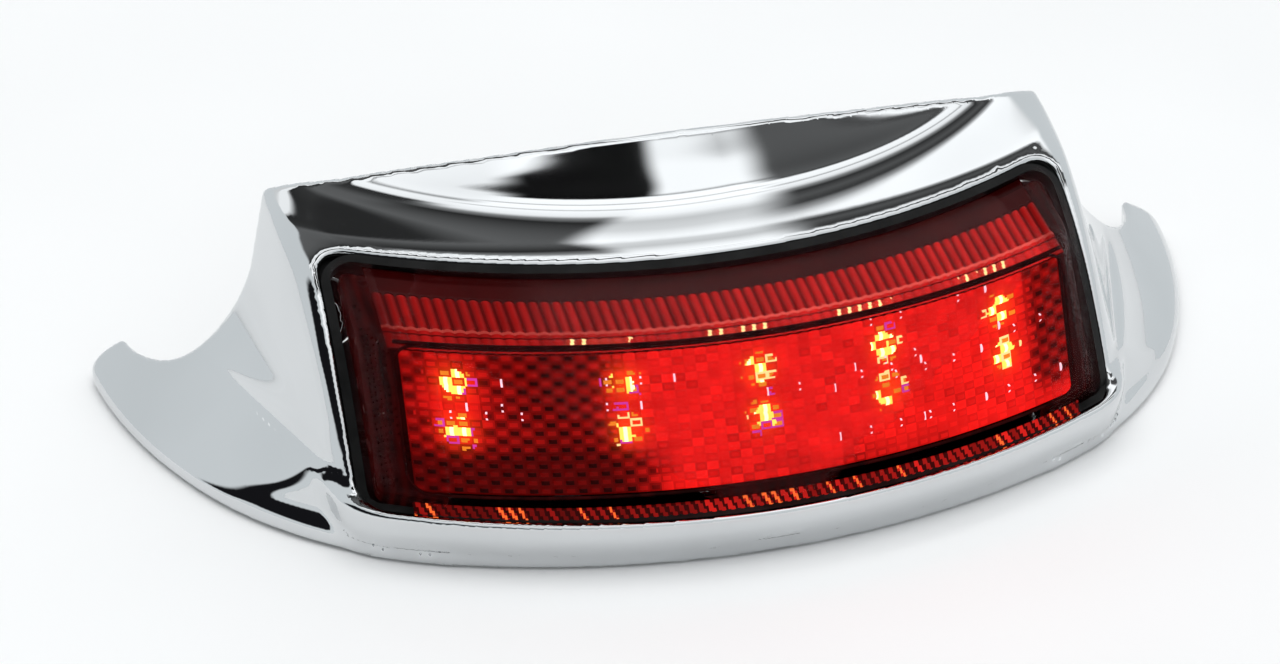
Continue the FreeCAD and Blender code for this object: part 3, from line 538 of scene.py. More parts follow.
# ---- lens
# Its facets lie between levels of (height, front y, plan radius, X of the corner, heading).
LENS_FOOT = (12.3, -48.9, 156.0, 70.0, 50.0)
LENS_HEEL = (14.6, -45.4, 168.0, 67.8, 52.0)
LENS_BROW = (40.4, -33.0, 157.0, 66.0, 67.0)
LENS_TOP = (43.9, -10.2, 131.0, 70.5, 80.0)
FOOT_FACET, MAIN_FACET, BAND_FACET = ((LENS_FOOT, LENS_HEEL), (LENS_HEEL, LENS_BROW),
                                      (LENS_BROW, LENS_TOP))
LENS_CORNER, LENS_HEEL_FILLET, LENS_BROW_EDGE, LENS_EDGE = 2.5, 0.5, 1.0, 0.6
FACE_HEIGHT = math.dist(LENS_HEEL[:2], LENS_BROW[:2])

# Where the painted lamp glow and glints sit on the main face: X, and share of the face's height.
LAMP_COLUMNS = (-56.5, -26.0, -0.5, 25.0, 50.5)
LAMP_ROWS = (0.46, 0.76)
LAMP_REACH = 3.6
CELL_WIDTH, CELL_HEIGHT, CELL_CROWN, CELL_RIM = 2.2, 1.5, 0.55, 0.66
FLUTE_PITCH, FLUTE_CROWN, STRIP_CROWN, SCALLOP_CROWN = 2.1, 0.6, 0.25, 0.35
PRISM_PITCH, PRISM_LEAN, PRISM_CROWN = 1.8, 1.6, 0.3
# Depths of the moulded optics and beads under the lens's outer face.
OPTICS_TOP, OPTICS_BACK, FOOT_TOP, FOOT_BACK, BEAD_DEPTH = 2.1, 2.45, 1.75, 2.0, 1.75

# Painted glow of the lens optics: reds of lit cells, painted halos, a dim brown glow, painted
# lamp glints with gold and violet fringes and sparkles, a painted scallop highlight, and painted
# flute and prism glints.
FACE_RED, BAND_RED, FOOT_RED = (0.95, 0.010, 0.008), (1.0, 0.018, 0.016), (1.0, 0.02, 0.015)
LAMP_HALO, STREAK_HALO, DIM_BROWN_GLOW = (0.40, 0.05, 0.0), (0.10, 0.02, 0.01), (0.006, 0.003, 0.003)
WARM_GLINT_CELL, BRIGHT_GLINT_CELL, WHITE_HOT_GLINT = (1.0, 0.26, 0.02), (1.9, 1.05, 0.16), (3.2, 2.5, 0.9)
GOLD_GLINT_RIM, VIOLET_GLINT_RIM, SPARKLE_GLINT = (1.5, 0.9, 0.35), (0.75, 0.05, 0.42), (1.5, 0.8, 0.95)
SCALLOP_HIGHLIGHT_RED, GOLD_FLUTE_GLINT, ORANGE_PRISM_GLINT = (0.85, 0.09, 0.07), (1.8, 1.1, 0.45), (1.1, 0.16, 0.03)


def facet_field(points, low, high):
    """One facet of the lens, carried on above and below its own levels."""
    x, y, z = points.T

    def at(height):
        share = (height - low[0]) / (high[0] - low[0])
        front_y = low[1] + share * (high[1] - low[1])
        held = np.clip(share, -1.5, 2.0)
        radius, corner_x, heading = [low[i] + held * (high[i] - low[i]) for i in (2, 3, 4)]
        return outline(x, y, front_y, radius, corner_x, LENS_CORNER, np.radians(heading))

    return flattened(at, z)


def lens_form(points, sink, inset):
    """Lens as a solid block, sunk square to the opening and drawn in from its edge."""
    p = points + sink * OUTWARD
    face = union_round(facet_field(p, *MAIN_FACET), facet_field(p, *FOOT_FACET),
                       LENS_HEEL_FILLET)
    form = common_round(face, facet_field(p, *BAND_FACET), LENS_BROW_EDGE)
    return common_round(form, opening_field(points, inset), LENS_EDGE)


def lens_shell(name, sink, inset, wall, depth, step):
    """Thin dished shell of the lens's form that ends depth below the housing's front."""
    def field(points):
        shell = np.maximum(lens_form(points, sink, inset),
                           -lens_form(points, sink + wall, inset + wall))
        return np.maximum(shell, -front_field(points, depth))

    low, high = [np.array(corner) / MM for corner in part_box("lens")]
    return field_object(name, field, low - 1.0, high + 1.0, step)


def on_facet(low, high, x, share, depth):
    """Points at a depth under a facet, at x and share of its rise, and its normals."""
    z, front_y, radius = [low[i] + share * (high[i] - low[i]) for i in range(3)]
    root = np.sqrt(radius**2 - x**2)
    points = np.stack([x, front_y + radius - root, z], axis=-1)
    rise = high[0] - low[0]
    grow = (high[2] - low[2]) / rise
    climb = (high[1] - low[1]) / rise + grow * (1 - radius / root)
    normals = np.stack([x / root, -np.ones_like(x), climb], axis=-1)
    normals /= np.linalg.norm(normals, axis=-1)[..., None]
    return points - np.asarray(depth)[..., None] * normals, normals


def scatter(i, j, seed):
    """Repeatable values from 0 to 1 for whole numbers i and j."""
    value = np.sin(i * 12.9898 + j * 78.233 + seed * 37.719) * 43758.5453
    return value - np.floor(value)


def hill(value, middle, width):
    """A bump of height 1 round the middle."""
    return np.exp(-((value - middle) / width)**2)


def slope_up(value, start, end):
    """A smooth step from 0 at the start to 1 at the end."""
    share = np.clip((value - start) / (end - start), 0, 1)
    return share * share * (3 - 2 * share)


def grid_of(half, columns, low_share, high_share, rows):
    """Grid of x and share values at points, and the same at the middles of its faces."""
    x, share = np.meshgrid(np.linspace(-half, half, columns + 1),
                           np.linspace(low_share, high_share, rows + 1))
    mean = [(grid[:-1, :-1] + grid[1:, 1:]) / 2 for grid in (x, share)]
    return x, share, *mean


def lamp_glow(x, height):
    """Strength of the lamps' glow on the main face, from 0 to 1."""
    glow = np.zeros_like(x)
    for column in LAMP_COLUMNS:
        for row in LAMP_ROWS:
            away = np.hypot((x - column) / LAMP_REACH,
                            (height - row * FACE_HEIGHT) / LAMP_REACH)
            glow = np.maximum(glow, np.exp(-away**2))
    return glow


def painted_face_light(x, share):
    """How brightly the main face is lit, as painted light and shade: strong right of the middle,
    dim at the left.
    """
    tone = 0.46 + 0.54 * slope_up(x, -30, -16)
    tone -= 0.26 * hill(x, -37, 8) * slope_up(share, 0.15, 0.45)
    tone -= 0.62 * slope_up(x, 54, 60) * slope_up(share, 0.0, 0.3)
    low_left = slope_up(-x, 12, 34) * (1 - slope_up(share, 0.22, 0.42))
    tone -= 0.55 * low_left
    tone -= 0.22 * hill(x, 18, 20) * (1 - slope_up(share, 0.05, 0.25))
    for column in LAMP_COLUMNS[:2]:
        tone += 0.5 * hill(x, column, 6.0) * hill(share, 0.6, 0.36)
    return np.clip(tone, 0.05, 1.0)


def make_main_optics():
    """Pillow cells inside the main face, with the painted glow of the lamps behind them: painted
    glints near the lamps and painted shade where the face is dim.
    """
    half, low_share, high_share = 65.4, 0.045, 0.955
    faces_across, faces_up = 6, 4
    columns = round(2 * half / CELL_WIDTH)
    rows = round((high_share - low_share) * FACE_HEIGHT / CELL_HEIGHT)
    x, share, mid_x, mid_share = grid_of(half, columns * faces_across, low_share, high_share,
                                         rows * faces_up)
    cell_width, cell_share = 2 * half / columns, (high_share - low_share) / rows

    def in_cell(at_x, at_share):
        """A place's cell, by column and row, and its place there, from -1 to 1 each way."""
        a = (at_x + half) / cell_width
        b = (at_share - low_share) / cell_share
        return np.floor(a), np.floor(b), 2 * (a % 1) - 1, 2 * (b % 1) - 1

    _, _, a, b = in_cell(x, share)
    crown = CELL_CROWN * (1 - a**2) * (1 - b**2)

    i, j, a, b = in_cell(mid_x, mid_share)
    even = (i + j) % 2 < 0.5
    rim = np.maximum(np.abs(a), np.abs(b)) > CELL_RIM
    # Painted light and shade of each cell, from its rim and parity: odd cells are painted dark
    # where the face is dim.
    tone = painted_face_light(mid_x, mid_share) * (0.85 + 0.3 * scatter(i, j, 1))
    seam = np.where(even, 0.5, 0.30) + 0.5 * slope_up(tone, 0.55, 0.95)
    lit = np.where(rim, tone * np.minimum(seam, 1.0) + 0.05, tone)
    shaded_cell = ~even & ~rim & (tone < 0.62)
    lit = np.where(shaded_cell, tone**3 * 0.7, lit)
    lit = np.where(even & ~rim & (tone < 0.30), tone + 0.08, lit)
    color = lit[..., None] * np.array(FACE_RED)

    # Painted lamp glints: a halo, warm, bright and white-hot cells, and gold and violet fringes
    # on the rims.
    glow = lamp_glow(mid_x, mid_share * FACE_HEIGHT)
    strength = glow * (0.45 + 0.85 * scatter(i, j, 2))
    color += (glow**1.5)[..., None] * np.array(LAMP_HALO)
    bright_glint = (strength > 0.66) & (even | (scatter(i, j, 8) > 0.6))
    warm_glint = (strength > 0.36) & ~bright_glint & (scatter(i, j, 9) > 0.45)
    glint_fringe = (strength > 0.26) & rim & (scatter(i, j, 3) > 0.80) & ~bright_glint
    color[warm_glint & ~rim] = WARM_GLINT_CELL
    color[bright_glint] = BRIGHT_GLINT_CELL
    color[bright_glint & (np.abs(a) < 0.4)] = WHITE_HOT_GLINT
    color[glint_fringe & (scatter(i, j, 4) > 0.5)] = GOLD_GLINT_RIM
    color[glint_fringe & (scatter(i, j, 4) <= 0.5)] = VIOLET_GLINT_RIM
    # Painted sparkles on the rims, most near the lamps.
    near = np.zeros_like(mid_x)
    for column in LAMP_COLUMNS:
        near = np.maximum(near, hill(mid_x, column + 3, 9.0))
    painted_sparkle = (scatter(i + 3 * np.floor(3 * a), j, 5) > 0.988) & (scatter(i, j, 6) < 0.15 + near)
    color[painted_sparkle & rim & (tone > 0.25)] = SPARKLE_GLINT
    return slab_object("lens_pillow_cells", MAIN_FACET, x, share, OPTICS_TOP - crown,
                       OPTICS_BACK, color)


def make_band_optics():
    """Flutes across the sloping top band, and the strip below them, painted brighter; all with
    painted glow: painted glints in slanted streaks, a painted highlight on the scallop, a
    painted dark line in the strip, and painted shade towards the band's top, left and ends.
    """
    half, split, flutes_end, brown_end = 66.5, 0.26, 0.66, 0.86
    per_flute, rows = 8, 44
    columns = round(2 * half / FLUTE_PITCH) * per_flute
    x, share, mid_x, mid_share = grid_of(half, columns, 0.035, 0.97, rows)

    def across(at_x):
        return 2 * ((at_x + half) / (2 * half) * columns / per_flute % 1) - 1

    ribbed = slope_up(share, split - 0.03, split)
    ribbed = ribbed * (1 - slope_up(share, flutes_end, flutes_end + 0.03))
    strip = 1 - slope_up(share, split - 0.05, split - 0.01)
    crown = (FLUTE_CROWN * ribbed + STRIP_CROWN * strip) * (1 - across(x)**2)
    crown = crown + SCALLOP_CROWN * hill(share, split, 0.02)

    a = across(mid_x)
    flute = np.floor((mid_x + half) / FLUTE_PITCH)
    # Painted light: dimmer to the left and at the ends.
    painted_band_light = 0.55 + 0.45 * slope_up(mid_x, -45, 10)
    painted_band_light *= 1 - 0.6 * slope_up(np.abs(mid_x), 60, 66)
    flutes = (0.05 + 0.55 * (1 - np.abs(a)**1.6)) * (0.8 + 0.35 * scatter(flute, 0, 7))
    strip = (0.42 + 0.30 * (1 - a**2)) * (0.75 + 0.4 * scatter(flute, 1, 8))
    lit = np.where(mid_share > split, flutes, strip) * painted_band_light
    # Painted shade: dim brown glow above the flutes, near black at the top.
    lit = np.where(mid_share > flutes_end, 0.015, lit)
    lit = np.where(mid_share > brown_end, 0.006, lit)
    color = lit[..., None] * np.array(BAND_RED)
    dim_brown_band = (mid_share > flutes_end) & (mid_share <= brown_end)
    color[dim_brown_band] += np.array(DIM_BROWN_GLOW)
    # Painted highlight on the scallop line.
    scallop_highlight = np.abs(mid_share - split - 0.012 * a**2) < 0.014
    color[scallop_highlight] = np.array(SCALLOP_HIGHLIGHT_RED) * painted_band_light[scallop_highlight][:, None]
    # Painted dark line in the strip below it.
    dark = np.abs(mid_share - split + 0.035) < 0.010
    color[dark] *= 0.25
    # Painted glints in slanted streaks from the lamps.
    for column in LAMP_COLUMNS[1:]:
        away = np.abs(mid_x - column * 1.01 + 5.0 - 14.0 * mid_share)
        painted_streak = (away < 6.0) & (np.abs(mid_share - 0.13) < 0.07)
        streak_glint = painted_streak & (np.abs(a - 6 * (mid_share - 0.13)) < 0.3)
        color[painted_streak] += np.array(STREAK_HALO)
        color[streak_glint & (scatter(flute, 2, 9) > 0.25)] = GOLD_FLUTE_GLINT
    return slab_object("lens_flutes", BAND_FACET, x, share, OPTICS_TOP - crown, OPTICS_BACK,
                       color)


def make_foot_optics():
    """Slanted prisms along the lens's lower edge, with painted glow: painted orange glints on
    some prisms and painted shade towards the left.
    """
    half, rows, per_prism = 66.0, 6, 4
    columns = round(2 * half / PRISM_PITCH) * per_prism
    x, share, mid_x, mid_share = grid_of(half, columns, 0.10, 0.92, rows)

    def across(at_x, at_share):
        """Place across a prism, from -1 to 1, and the prism's number."""
        count = (at_x + PRISM_LEAN * at_share) / PRISM_PITCH
        return 2 * (count % 1) - 1, np.floor(count)

    crown = PRISM_CROWN * (1 - across(x, share)[0]**2)
    a, prism = across(mid_x, mid_share)
    lit = np.where(np.abs(a) < 0.55, 0.24 + 0.6 * scatter(prism, 3, 10)**2, 0.03)
    # Painted shade towards the left.
    lit *= 0.45 + 0.55 * slope_up(mid_x, -40, 0)
    color = lit[..., None] * np.array(FOOT_RED)
    # Painted orange glints on some prisms.
    glint = (np.abs(a) < 0.3) & (scatter(prism, 4, 11) > 0.72)
    color[glint] = ORANGE_PRISM_GLINT
    return slab_object("lens_foot_prisms", FOOT_FACET, x, share, FOOT_TOP - crown, FOOT_BACK,
                       color)


def make_face_frame():
    """Fine bead round the main face, with rounded corners."""
    half_x, half_y, corner, bead_radius, spacing = 66.4, 0.478 * FACE_HEIGHT, 4.0, 0.34, 1.5
    path = []
    for quarter, (sx, sy) in enumerate(((1, 1), (-1, 1), (-1, -1), (1, -1))):
        for turn in np.linspace(0, math.pi / 2, 8) + quarter * math.pi / 2:
            path.append((sx * (half_x - corner) + corner * math.cos(turn),
                         sy * (half_y - corner) + corner * math.sin(turn)))
    path = np.array(path)
    dense = []
    for here, there in zip(path, np.roll(path, -1, axis=0)):
        steps = max(1, round(math.dist(here, there) / spacing))
        dense += [here + (there - here) * k / steps for k in range(steps)]
    dense = np.array(dense)
    share = 0.505 + dense[:, 1] / FACE_HEIGHT
    points, normals = on_facet(*MAIN_FACET, dense[:, 0], share, BEAD_DEPTH)
    return tube_object("lens_face_bead", points, normals, bead_radius, True)


def make_brow_line():
    """Dark bead along the edge between the main face and the top band."""
    half, count, bead_radius = 66, 97, 0.42
    x = np.linspace(-half, half, count)
    points, normals = on_facet(*MAIN_FACET, x, np.ones_like(x), BEAD_DEPTH)
    return tube_object("lens_brow_bead", points, normals, bead_radius, False)


# ---- node helpers
def new_material(name):
    """A node material, its tree and its shader."""
    material = bpy.data.materials.new(name)
    material.use_nodes = True
    tree = material.node_tree
    return material, tree, tree.nodes["Principled BSDF"]


def make(tree, kind, **values):
    """Add a node; a value named after an input sets that input, any other sets a property."""
    node = tree.nodes.new(kind)
    for name, value in values.items():
        if name in node.inputs:
            node.inputs[name].default_value = value
        else:
            setattr(node, name, value)
    return node


def noise(tree, scale, detail=2.0):
    """Noise in the object's own coordinates; scale is per metre."""
    place = make(tree, "ShaderNodeTexCoord")
    texture = make(tree, "ShaderNodeTexNoise", Scale=scale, Detail=detail)
    tree.links.new(place.outputs["Object"], texture.inputs["Vector"])
    return texture.outputs["Fac"]


def ramp(tree, source, low, high, start=0.35, end=0.65):
    """Colours from low to high as the source goes from start to end."""
    node = make(tree, "ShaderNodeValToRGB")
    for element, place, color in zip(node.color_ramp.elements, (start, end), (low, high)):
        element.position = place
        element.color = (*color, 1.0)
    tree.links.new(source, node.inputs["Fac"])
    return node.outputs["Color"]


def spread(tree, source, low, high):
    """A number from low to high as the source goes from 0.3 to 0.7."""
    node = make(tree, "ShaderNodeMapRange")
    for name, value in (("From Min", 0.3), ("From Max", 0.7), ("To Min", low), ("To Max", high)):
        node.inputs[name].default_value = value
    tree.links.new(source, node.inputs["Value"])
    return node.outputs["Result"]


def bump(tree, shader, source, strength, distance):
    """Let a source shape the shader's surface; distance is in metres."""
    node = make(tree, "ShaderNodeBump", Strength=strength, Distance=distance)
    tree.links.new(source, node.inputs["Height"])
    tree.links.new(node.outputs["Normal"], shader.inputs["Normal"])


# ---- materials
INNER_GLOSS = 0.02  # the lens's inner faces reflect next to nothing


def uneven(name, tone, dark, light, rough, least, most, gloss=0.5):
    """Material of uneven colour and roughness; tone and rough are noise (scale, detail)."""
    material, tree, shader = new_material(name)
    tree.links.new(ramp(tree, noise(tree, *tone), dark, light), shader.inputs["Base Color"])
    tree.links.new(spread(tree, noise(tree, *rough), least, most), shader.inputs["Roughness"])
    shader.inputs["Specular IOR Level"].default_value = gloss
    return material, tree, shader


def chrome():
    """Bright plate: faint haze and an even tone, with next to no ripple."""
    material, _, shader = uneven("chrome_plate", (25.0,), (0.63, 0.645, 0.655),
                                 (0.67, 0.685, 0.695), (60.0, 4.0), 0.02, 0.05)
    shader.inputs["Metallic"].default_value = 1.0
    return material


def moulded(name, dark, light, rough, grain=900.0, depth=0.00004, gloss=0.5):
    """Moulded plastic or rubber: a fine grain and slightly uneven tone."""
    material, tree, shader = uneven(name, (180.0, 3.0), dark, light, (grain / 3,),
                                    rough - 0.06, rough + 0.08, gloss)
    bump(tree, shader, noise(tree, grain, 3.0), 0.5, depth)
    return material


def metal(name, dark, light, rough, grain=700.0):
    """Machined or plated metal with fine scratches."""
    material, tree, shader = uneven(name, (400.0, 4.0), dark, light, (grain, 4.0),
                                    rough - 0.08, rough + 0.1)
    shader.inputs["Metallic"].default_value = 1.0
    bump(tree, shader, noise(tree, 2 * grain), 0.3, 0.00002)
    return material


def lens_cover_plastic():
    """Clear red plastic, seen through, with a gloss on top."""
    material, tree, shader = uneven("clear_red_plastic", (90.0,), (0.05, 0.001, 0.001),
                                    (0.07, 0.002, 0.002), (300.0,), 0.03, 0.08)
    tree.links.new(spread(tree, noise(tree, 40.0), 0.045, 0.06), shader.inputs["Alpha"])
    return material


def lit_plastic():
    """Red plastic lit from behind, as painted glow: the painted light, glints and shade of each
    face are stored with the mesh.
    """
    material, tree, shader = uneven("lit_red_plastic", (120.0,), (0.014, 0.001, 0.001),
                                    (0.024, 0.001, 0.001), (500.0,), 0.12, 0.22, INNER_GLOSS)
    paint = make(tree, "ShaderNodeAttribute", attribute_name="glow")
    mottle = ramp(tree, noise(tree, 260.0, 3.0), (0.86, 0.86, 0.86), (1.0, 1.0, 1.0))
    mix = make(tree, "ShaderNodeMix", data_type="RGBA", blend_type="MULTIPLY")
    mix.inputs[0].default_value = 1.0
    tree.links.new(paint.outputs["Color"], mix.inputs[6])
    tree.links.new(mottle, mix.inputs[7])
    tree.links.new(mix.outputs[2], shader.inputs["Emission Color"])
    shader.inputs["Emission Strength"].default_value = 1.0
    return material


def shade_liner_plastic():
    """Almost black red sheet inside the lens, as painted shade where its facets look dark, with
    faint upright stripes of painted red glow.
    """
    material, tree, shader = uneven("dark_red_shade_liner", (200.0,), (0.008, 0.001, 0.001),
                                    (0.02, 0.002, 0.002), (300.0,), 0.15, 0.3, INNER_GLOSS)
    # Faint upright stripes of painted red glow.
    place = make(tree, "ShaderNodeTexCoord")
    wave = make(tree, "ShaderNodeTexWave", Scale=140.0, Distortion=2.5, Detail=2.0)
    tree.links.new(place.outputs["Object"], wave.inputs["Vector"])
    glow_streaks = ramp(tree, wave.outputs["Fac"], (0.002, 0.0003, 0.0003), (0.016, 0.0008, 0.0007),
                   0.3, 0.95)
    tree.links.new(glow_streaks, shader.inputs["Emission Color"])
    shader.inputs["Emission Strength"].default_value = 1.0
    return material


def bead_plastic():
    """Dark red plastic of the moulded edges."""
    return uneven("dark_red_bead", (300.0,), (0.008, 0.001, 0.001), (0.03, 0.002, 0.002),
                  (400.0,), 0.1, 0.2, INNER_GLOSS)[0]


def finish_nodes():
    """Materials of the CAD nodes that stay as they are, each with its nodes."""
    finishes = [
        (moulded("black_seal_rubber", (0.004, 0.004, 0.004), (0.010, 0.010, 0.010), 0.42,
                 gloss=0.12), "lens_seal"),
        (moulded("black_cover_plastic", (0.010, 0.010, 0.011), (0.020, 0.020, 0.021), 0.45,
                 700.0, 0.00008), "rear_cover"),
        (moulded("gasket_rubber", (0.014, 0.014, 0.015), (0.028, 0.028, 0.028), 0.7),
         "cover_gasket", "wire_grommet"),
        (moulded("grey_foam", (0.035, 0.036, 0.038), (0.085, 0.087, 0.09), 0.92, 1500.0,
                 0.0004), "fender_foam"),
        (moulded("vent_plastic", (0.20, 0.21, 0.22), (0.27, 0.28, 0.29), 0.55), "vent_plug"),
        (moulded("carrier_plastic", (0.012, 0.012, 0.012), (0.025, 0.025, 0.025), 0.5),
         "board_carrier"),
        (metal("zinc_plate", (0.48, 0.49, 0.50), (0.68, 0.69, 0.70), 0.3),
         "cover_screws", "carrier_screws", "board_screws"),
        (metal("brass", (0.60, 0.42, 0.16), (0.76, 0.56, 0.26), 0.28), "mounting_inserts"),
        (metal("tinned_pin", (0.62, 0.62, 0.60), (0.78, 0.78, 0.76), 0.25), "header_pins"),
        (metal("capacitor_can", (0.55, 0.56, 0.58), (0.72, 0.73, 0.74), 0.3), "capacitor"),
        (moulded("solder_resist_red", (0.16, 0.008, 0.008), (0.26, 0.014, 0.012), 0.35),
         "center_board", "left_board", "right_board"),
        (moulded("lamp_epoxy", (0.45, 0.02, 0.02), (0.62, 0.04, 0.03), 0.12),
         "center_lamps", "left_lamps", "right_lamps"),
        (moulded("wire_insulation", (0.35, 0.012, 0.010), (0.48, 0.02, 0.015), 0.4),
         "jumper_wires"),
        (moulded("chip_epoxy", (0.012, 0.012, 0.013), (0.03, 0.03, 0.03), 0.5),
         "resistors", "diode", "regulator"),
        (moulded("header_nylon", (0.62, 0.61, 0.56), (0.74, 0.73, 0.69), 0.45),
         "wire_header"),
    ]
    for material, *names in finishes:
        for name in names:
            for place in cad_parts[name].material_slots:
                place.material = material


# ---- studio
def make_floor():
    """Wide pale floor, just under the light."""
    floor = bpy.data.meshes.new("floor")
    half, level = 3.0, -0.0005
    floor.from_pydata([(-half, -half, level), (half, -half, level), (half, half, level),
                       (-half, half, level)], [], [(0, 1, 2, 3)])
    obj = add_object("floor", floor)
    material, tree, shader = new_material("pale_floor")
    tree.links.new(ramp(tree, noise(tree, 8.0), (0.90, 0.90, 0.90), (0.92, 0.92, 0.92)),
                   shader.inputs["Base Color"])
    shader.inputs["Roughness"].default_value = 0.7
    shader.inputs["Specular IOR Level"].default_value = 0.1
    obj.data.materials.append(material)


CAMERA_TURN, CAMERA_TILT = math.radians(15.156), math.radians(31.854)
CAMERA_LENS, CAMERA_DISTANCE, CAMERA_LEFT, CAMERA_DOWN = 84.49, 0.5984, 0.009392, 0.01118
CAMERA_AIM = Vector((0, 0.015, 0.025))


def make_camera():
    """Camera in front of the lens, which looks down at it a little from the left."""
    sin_a, cos_a = math.sin(CAMERA_TURN), math.cos(CAMERA_TURN)
    sin_e, cos_e = math.sin(CAMERA_TILT), math.cos(CAMERA_TILT)
    forward = Vector((sin_a * cos_e, cos_a * cos_e, -sin_e))
    right = Vector((cos_a, -sin_a, 0))
    up = right.cross(forward)
    data = bpy.data.cameras.new("camera")
    data.lens = CAMERA_LENS
    data.sensor_width = 36
    camera = add_object("camera", data)
    turn = Matrix((right, up, -forward)).transposed().to_4x4()
    place = (CAMERA_AIM - CAMERA_DISTANCE * forward - CAMERA_LEFT * right
             - CAMERA_DOWN * up)
    camera.matrix_world = Matrix.Translation(place) @ turn
    bpy.context.scene.camera = camera


# What the chrome sees overhead, as greys along v (the height above the middle of a ceiling
# plane, positive towards the fender) for its left, middle and right parts.
CEILING_EDGE = [(-0.05, 1.2), (0.0, 0.02), (0.12, 0.01), (0.15, 1.3), (0.26, 1.4), (0.30, 0.4),
                (0.33, 1.4), (0.42, 1.3), (0.45, 0.03), (0.52, 0.05), (0.62, 0.14),
                (0.74, 0.16), (0.82, 0.05), (0.98, 0.03), (1.02, 1.2), (1.12, 1.2),
                (1.16, 0.84)]
CEILING_LEFT = [(-0.06, 1.5), (-0.02, 0.02), (0.165, 0.006), (0.175, 1.6), (0.25, 1.5),
                (0.262, 0.45), (0.275, 1.6), (0.35, 1.5), (0.362, 0.5), (0.375, 1.5),
                (0.46, 1.3), (0.50, 0.34), (0.56, 0.03), (0.66, 0.10), (0.74, 0.16),
                (0.80, 0.03), (0.94, 0.03), (0.99, 1.4), (1.12, 1.3), (1.18, 0.84)]
CEILING_MIDDLE = [(-0.06, 1.5), (0.14, 1.5), (0.165, 0.40), (0.18, 1.6), (0.25, 1.6),
                  (0.262, 0.6), (0.275, 1.6), (0.35, 1.6), (0.362, 0.7), (0.375, 1.6),
                  (0.48, 1.4), (0.56, 0.85), (0.64, 1.0), (0.70, 1.6), (0.95, 1.5),
                  (1.1, 0.84)]
CEILING_RIGHT = [(-0.06, 1.2), (0.0, 0.06), (0.17, 0.14), (0.20, 0.06), (0.22, 1.5),
                 (0.29, 1.4), (0.31, 0.5), (0.33, 1.4), (0.38, 1.2), (0.42, 0.35),
                 (0.47, 0.04), (0.56, 0.12), (0.62, 0.05), (0.66, 0.45), (0.70, 1.5),
                 (0.90, 1.4), (1.1, 0.84)]
CEILING_LOW, CEILING_HIGH = -1.0, 1.5
# Its parts from left to right, each with the u where it takes over from the part before.
CEILING_PARTS = ((-0.46, -0.40, CEILING_EDGE), (-0.12, -0.04, CEILING_LEFT),
                 (0.16, 0.20, CEILING_MIDDLE), (0.34, 0.42, CEILING_RIGHT))
CEILING_SKEW, SKEW_START, LEAST_RISE = 0.35, 0.32, 0.03
WALL_COLOR, DARK_COLOR = (0.80, 0.84, 0.86, 1.0), (0.01, 0.01, 0.012, 1.0)


def ceiling_ramp(tree, place, stops):
    """Colours for (v, grey) stops, a trace bluer than grey."""
    stops = [(CEILING_LOW, 0.9), *stops, (CEILING_HIGH, 0.84)]
    node = make(tree, "ShaderNodeValToRGB")
    elements = node.color_ramp.elements
    while len(elements) < len(stops):
        elements.new(0.5)
    for element, (v, _) in zip(elements, stops):
        element.position = (v - CEILING_LOW) / (CEILING_HIGH - CEILING_LOW)
    for element, (_, grey) in zip(elements, stops):
        element.color = (grey * 0.985, grey, grey * 1.01, 1.0)
    tree.links.new(place, node.inputs["Fac"])
    return node.outputs["Color"]


def math_node(tree, operation, *values):
    """Result of an operation on numbers or sockets."""
    node = make(tree, "ShaderNodeMath", operation=operation)
    for entry, value in zip(node.inputs, values):
        if isinstance(value, (int, float)):
            entry.default_value = value
        else:
            tree.links.new(value, entry)
    return node.outputs[0]


def step_up(tree, value, start, end):
    """Smooth step from 0 to 1 as the value goes from start to end."""
    node = make(tree, "ShaderNodeMapRange", interpolation_type="SMOOTHSTEP")
    node.inputs["From Min"].default_value = start
    node.inputs["From Max"].default_value = end
    tree.links.new(value, node.inputs["Value"])
    return node.outputs["Result"]


def blend_colors(tree, share, first, second):
    """The first colour where share is 0, the second where it is 1."""
    node = make(tree, "ShaderNodeMix", data_type="RGBA")
    tree.links.new(share, node.inputs[0])
    for entry, value in ((node.inputs[6], first), (node.inputs[7], second)):
        if isinstance(value, tuple):
            entry.default_value = value
        else:
            tree.links.new(value, entry)
    return node.outputs[2]


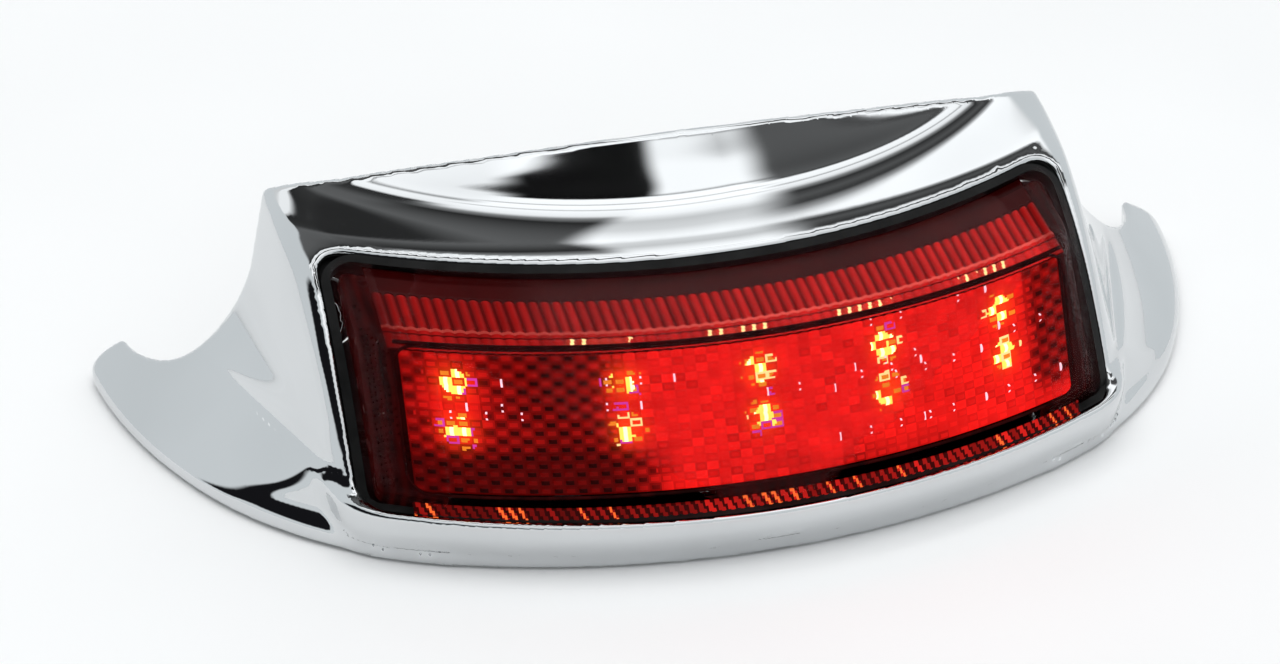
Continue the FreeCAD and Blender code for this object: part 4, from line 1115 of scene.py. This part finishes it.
def make_world():
    """Soft studio: pale walls, and a ceiling of white cards with dark gaps between them."""
    world = bpy.data.worlds.new("studio")
    bpy.context.scene.world = world
    world.use_nodes = True
    tree = world.node_tree
    place = make(tree, "ShaderNodeTexCoord")
    split = make(tree, "ShaderNodeSeparateXYZ")
    tree.links.new(place.outputs["Generated"], split.inputs[0])
    x, y, z = split.outputs
    rise = math_node(tree, "MAXIMUM", z, LEAST_RISE)
    u = math_node(tree, "DIVIDE", x, rise)
    v = math_node(tree, "DIVIDE", y, rise)
    skew = math_node(tree, "MAXIMUM", math_node(tree, "SUBTRACT", u, SKEW_START), 0.0)
    v = math_node(tree, "SUBTRACT", v, math_node(tree, "MULTIPLY", skew, CEILING_SKEW))
    share = math_node(tree, "DIVIDE", math_node(tree, "SUBTRACT", v, CEILING_LOW),
                      CEILING_HIGH - CEILING_LOW)
    ceiling = WALL_COLOR
    for start, end, stops in CEILING_PARTS:
        part = ceiling_ramp(tree, share, stops)
        ceiling = blend_colors(tree, step_up(tree, u, start, end), ceiling, part)
    overhead = step_up(tree, z, 0.50, 0.56)
    seen = blend_colors(tree, overhead, WALL_COLOR, ceiling)
    left_dark = math_node(tree, "MULTIPLY", step_up(tree, u, -0.75, -0.95),
                          step_up(tree, z, 0.14, 0.20))
    left_dark = math_node(tree, "MULTIPLY", left_dark, step_up(tree, y, 0.25, 0.18))
    seen = blend_colors(tree, left_dark, seen, DARK_COLOR)
    tree.links.new(seen, tree.nodes["Background"].inputs["Color"])
    tree.nodes["Background"].inputs["Strength"].default_value = 1.0


def make_light():
    """Broad soft key from above; the chrome sees the ceiling, not the lamp."""
    data = bpy.data.lights.new("key", "AREA")
    data.shape, data.size, data.size_y, data.energy = "RECTANGLE", 1.6, 1.2, 10.0
    light = add_object("key", data)
    light.location = (-0.3, -0.2, 1.6)
    light.rotation_euler = (math.radians(8), math.radians(-10), 0)
    light.visible_glossy = False


# ---- build
bpy.context.scene.view_settings.view_transform = "Standard"
show(make_housing(), "chrome_shell", chrome(), "housing")
shell_step = 0.7
lens_cover = lens_shell("lens_cover", 0.0, 1.8, 1.2, 6.0, shell_step)
show(lens_cover, "red_lens", lens_cover_plastic(), "lens")
# Dark sheet inside the lens, as painted shade behind its facets.
show(lens_shell("lens_shade_liner", 2.9, 3.6, 1.2, 7.2, shell_step), "red_lens", shade_liner_plastic())
lit, bead = lit_plastic(), bead_plastic()
for piece in (make_main_optics(), make_band_optics(), make_foot_optics()):
    show(piece, "red_lens", lit)
for piece in (make_face_frame(), make_brow_line()):
    show(piece, "red_lens", bead)
finish_nodes()
make_floor()
make_camera()
make_world()
make_light()
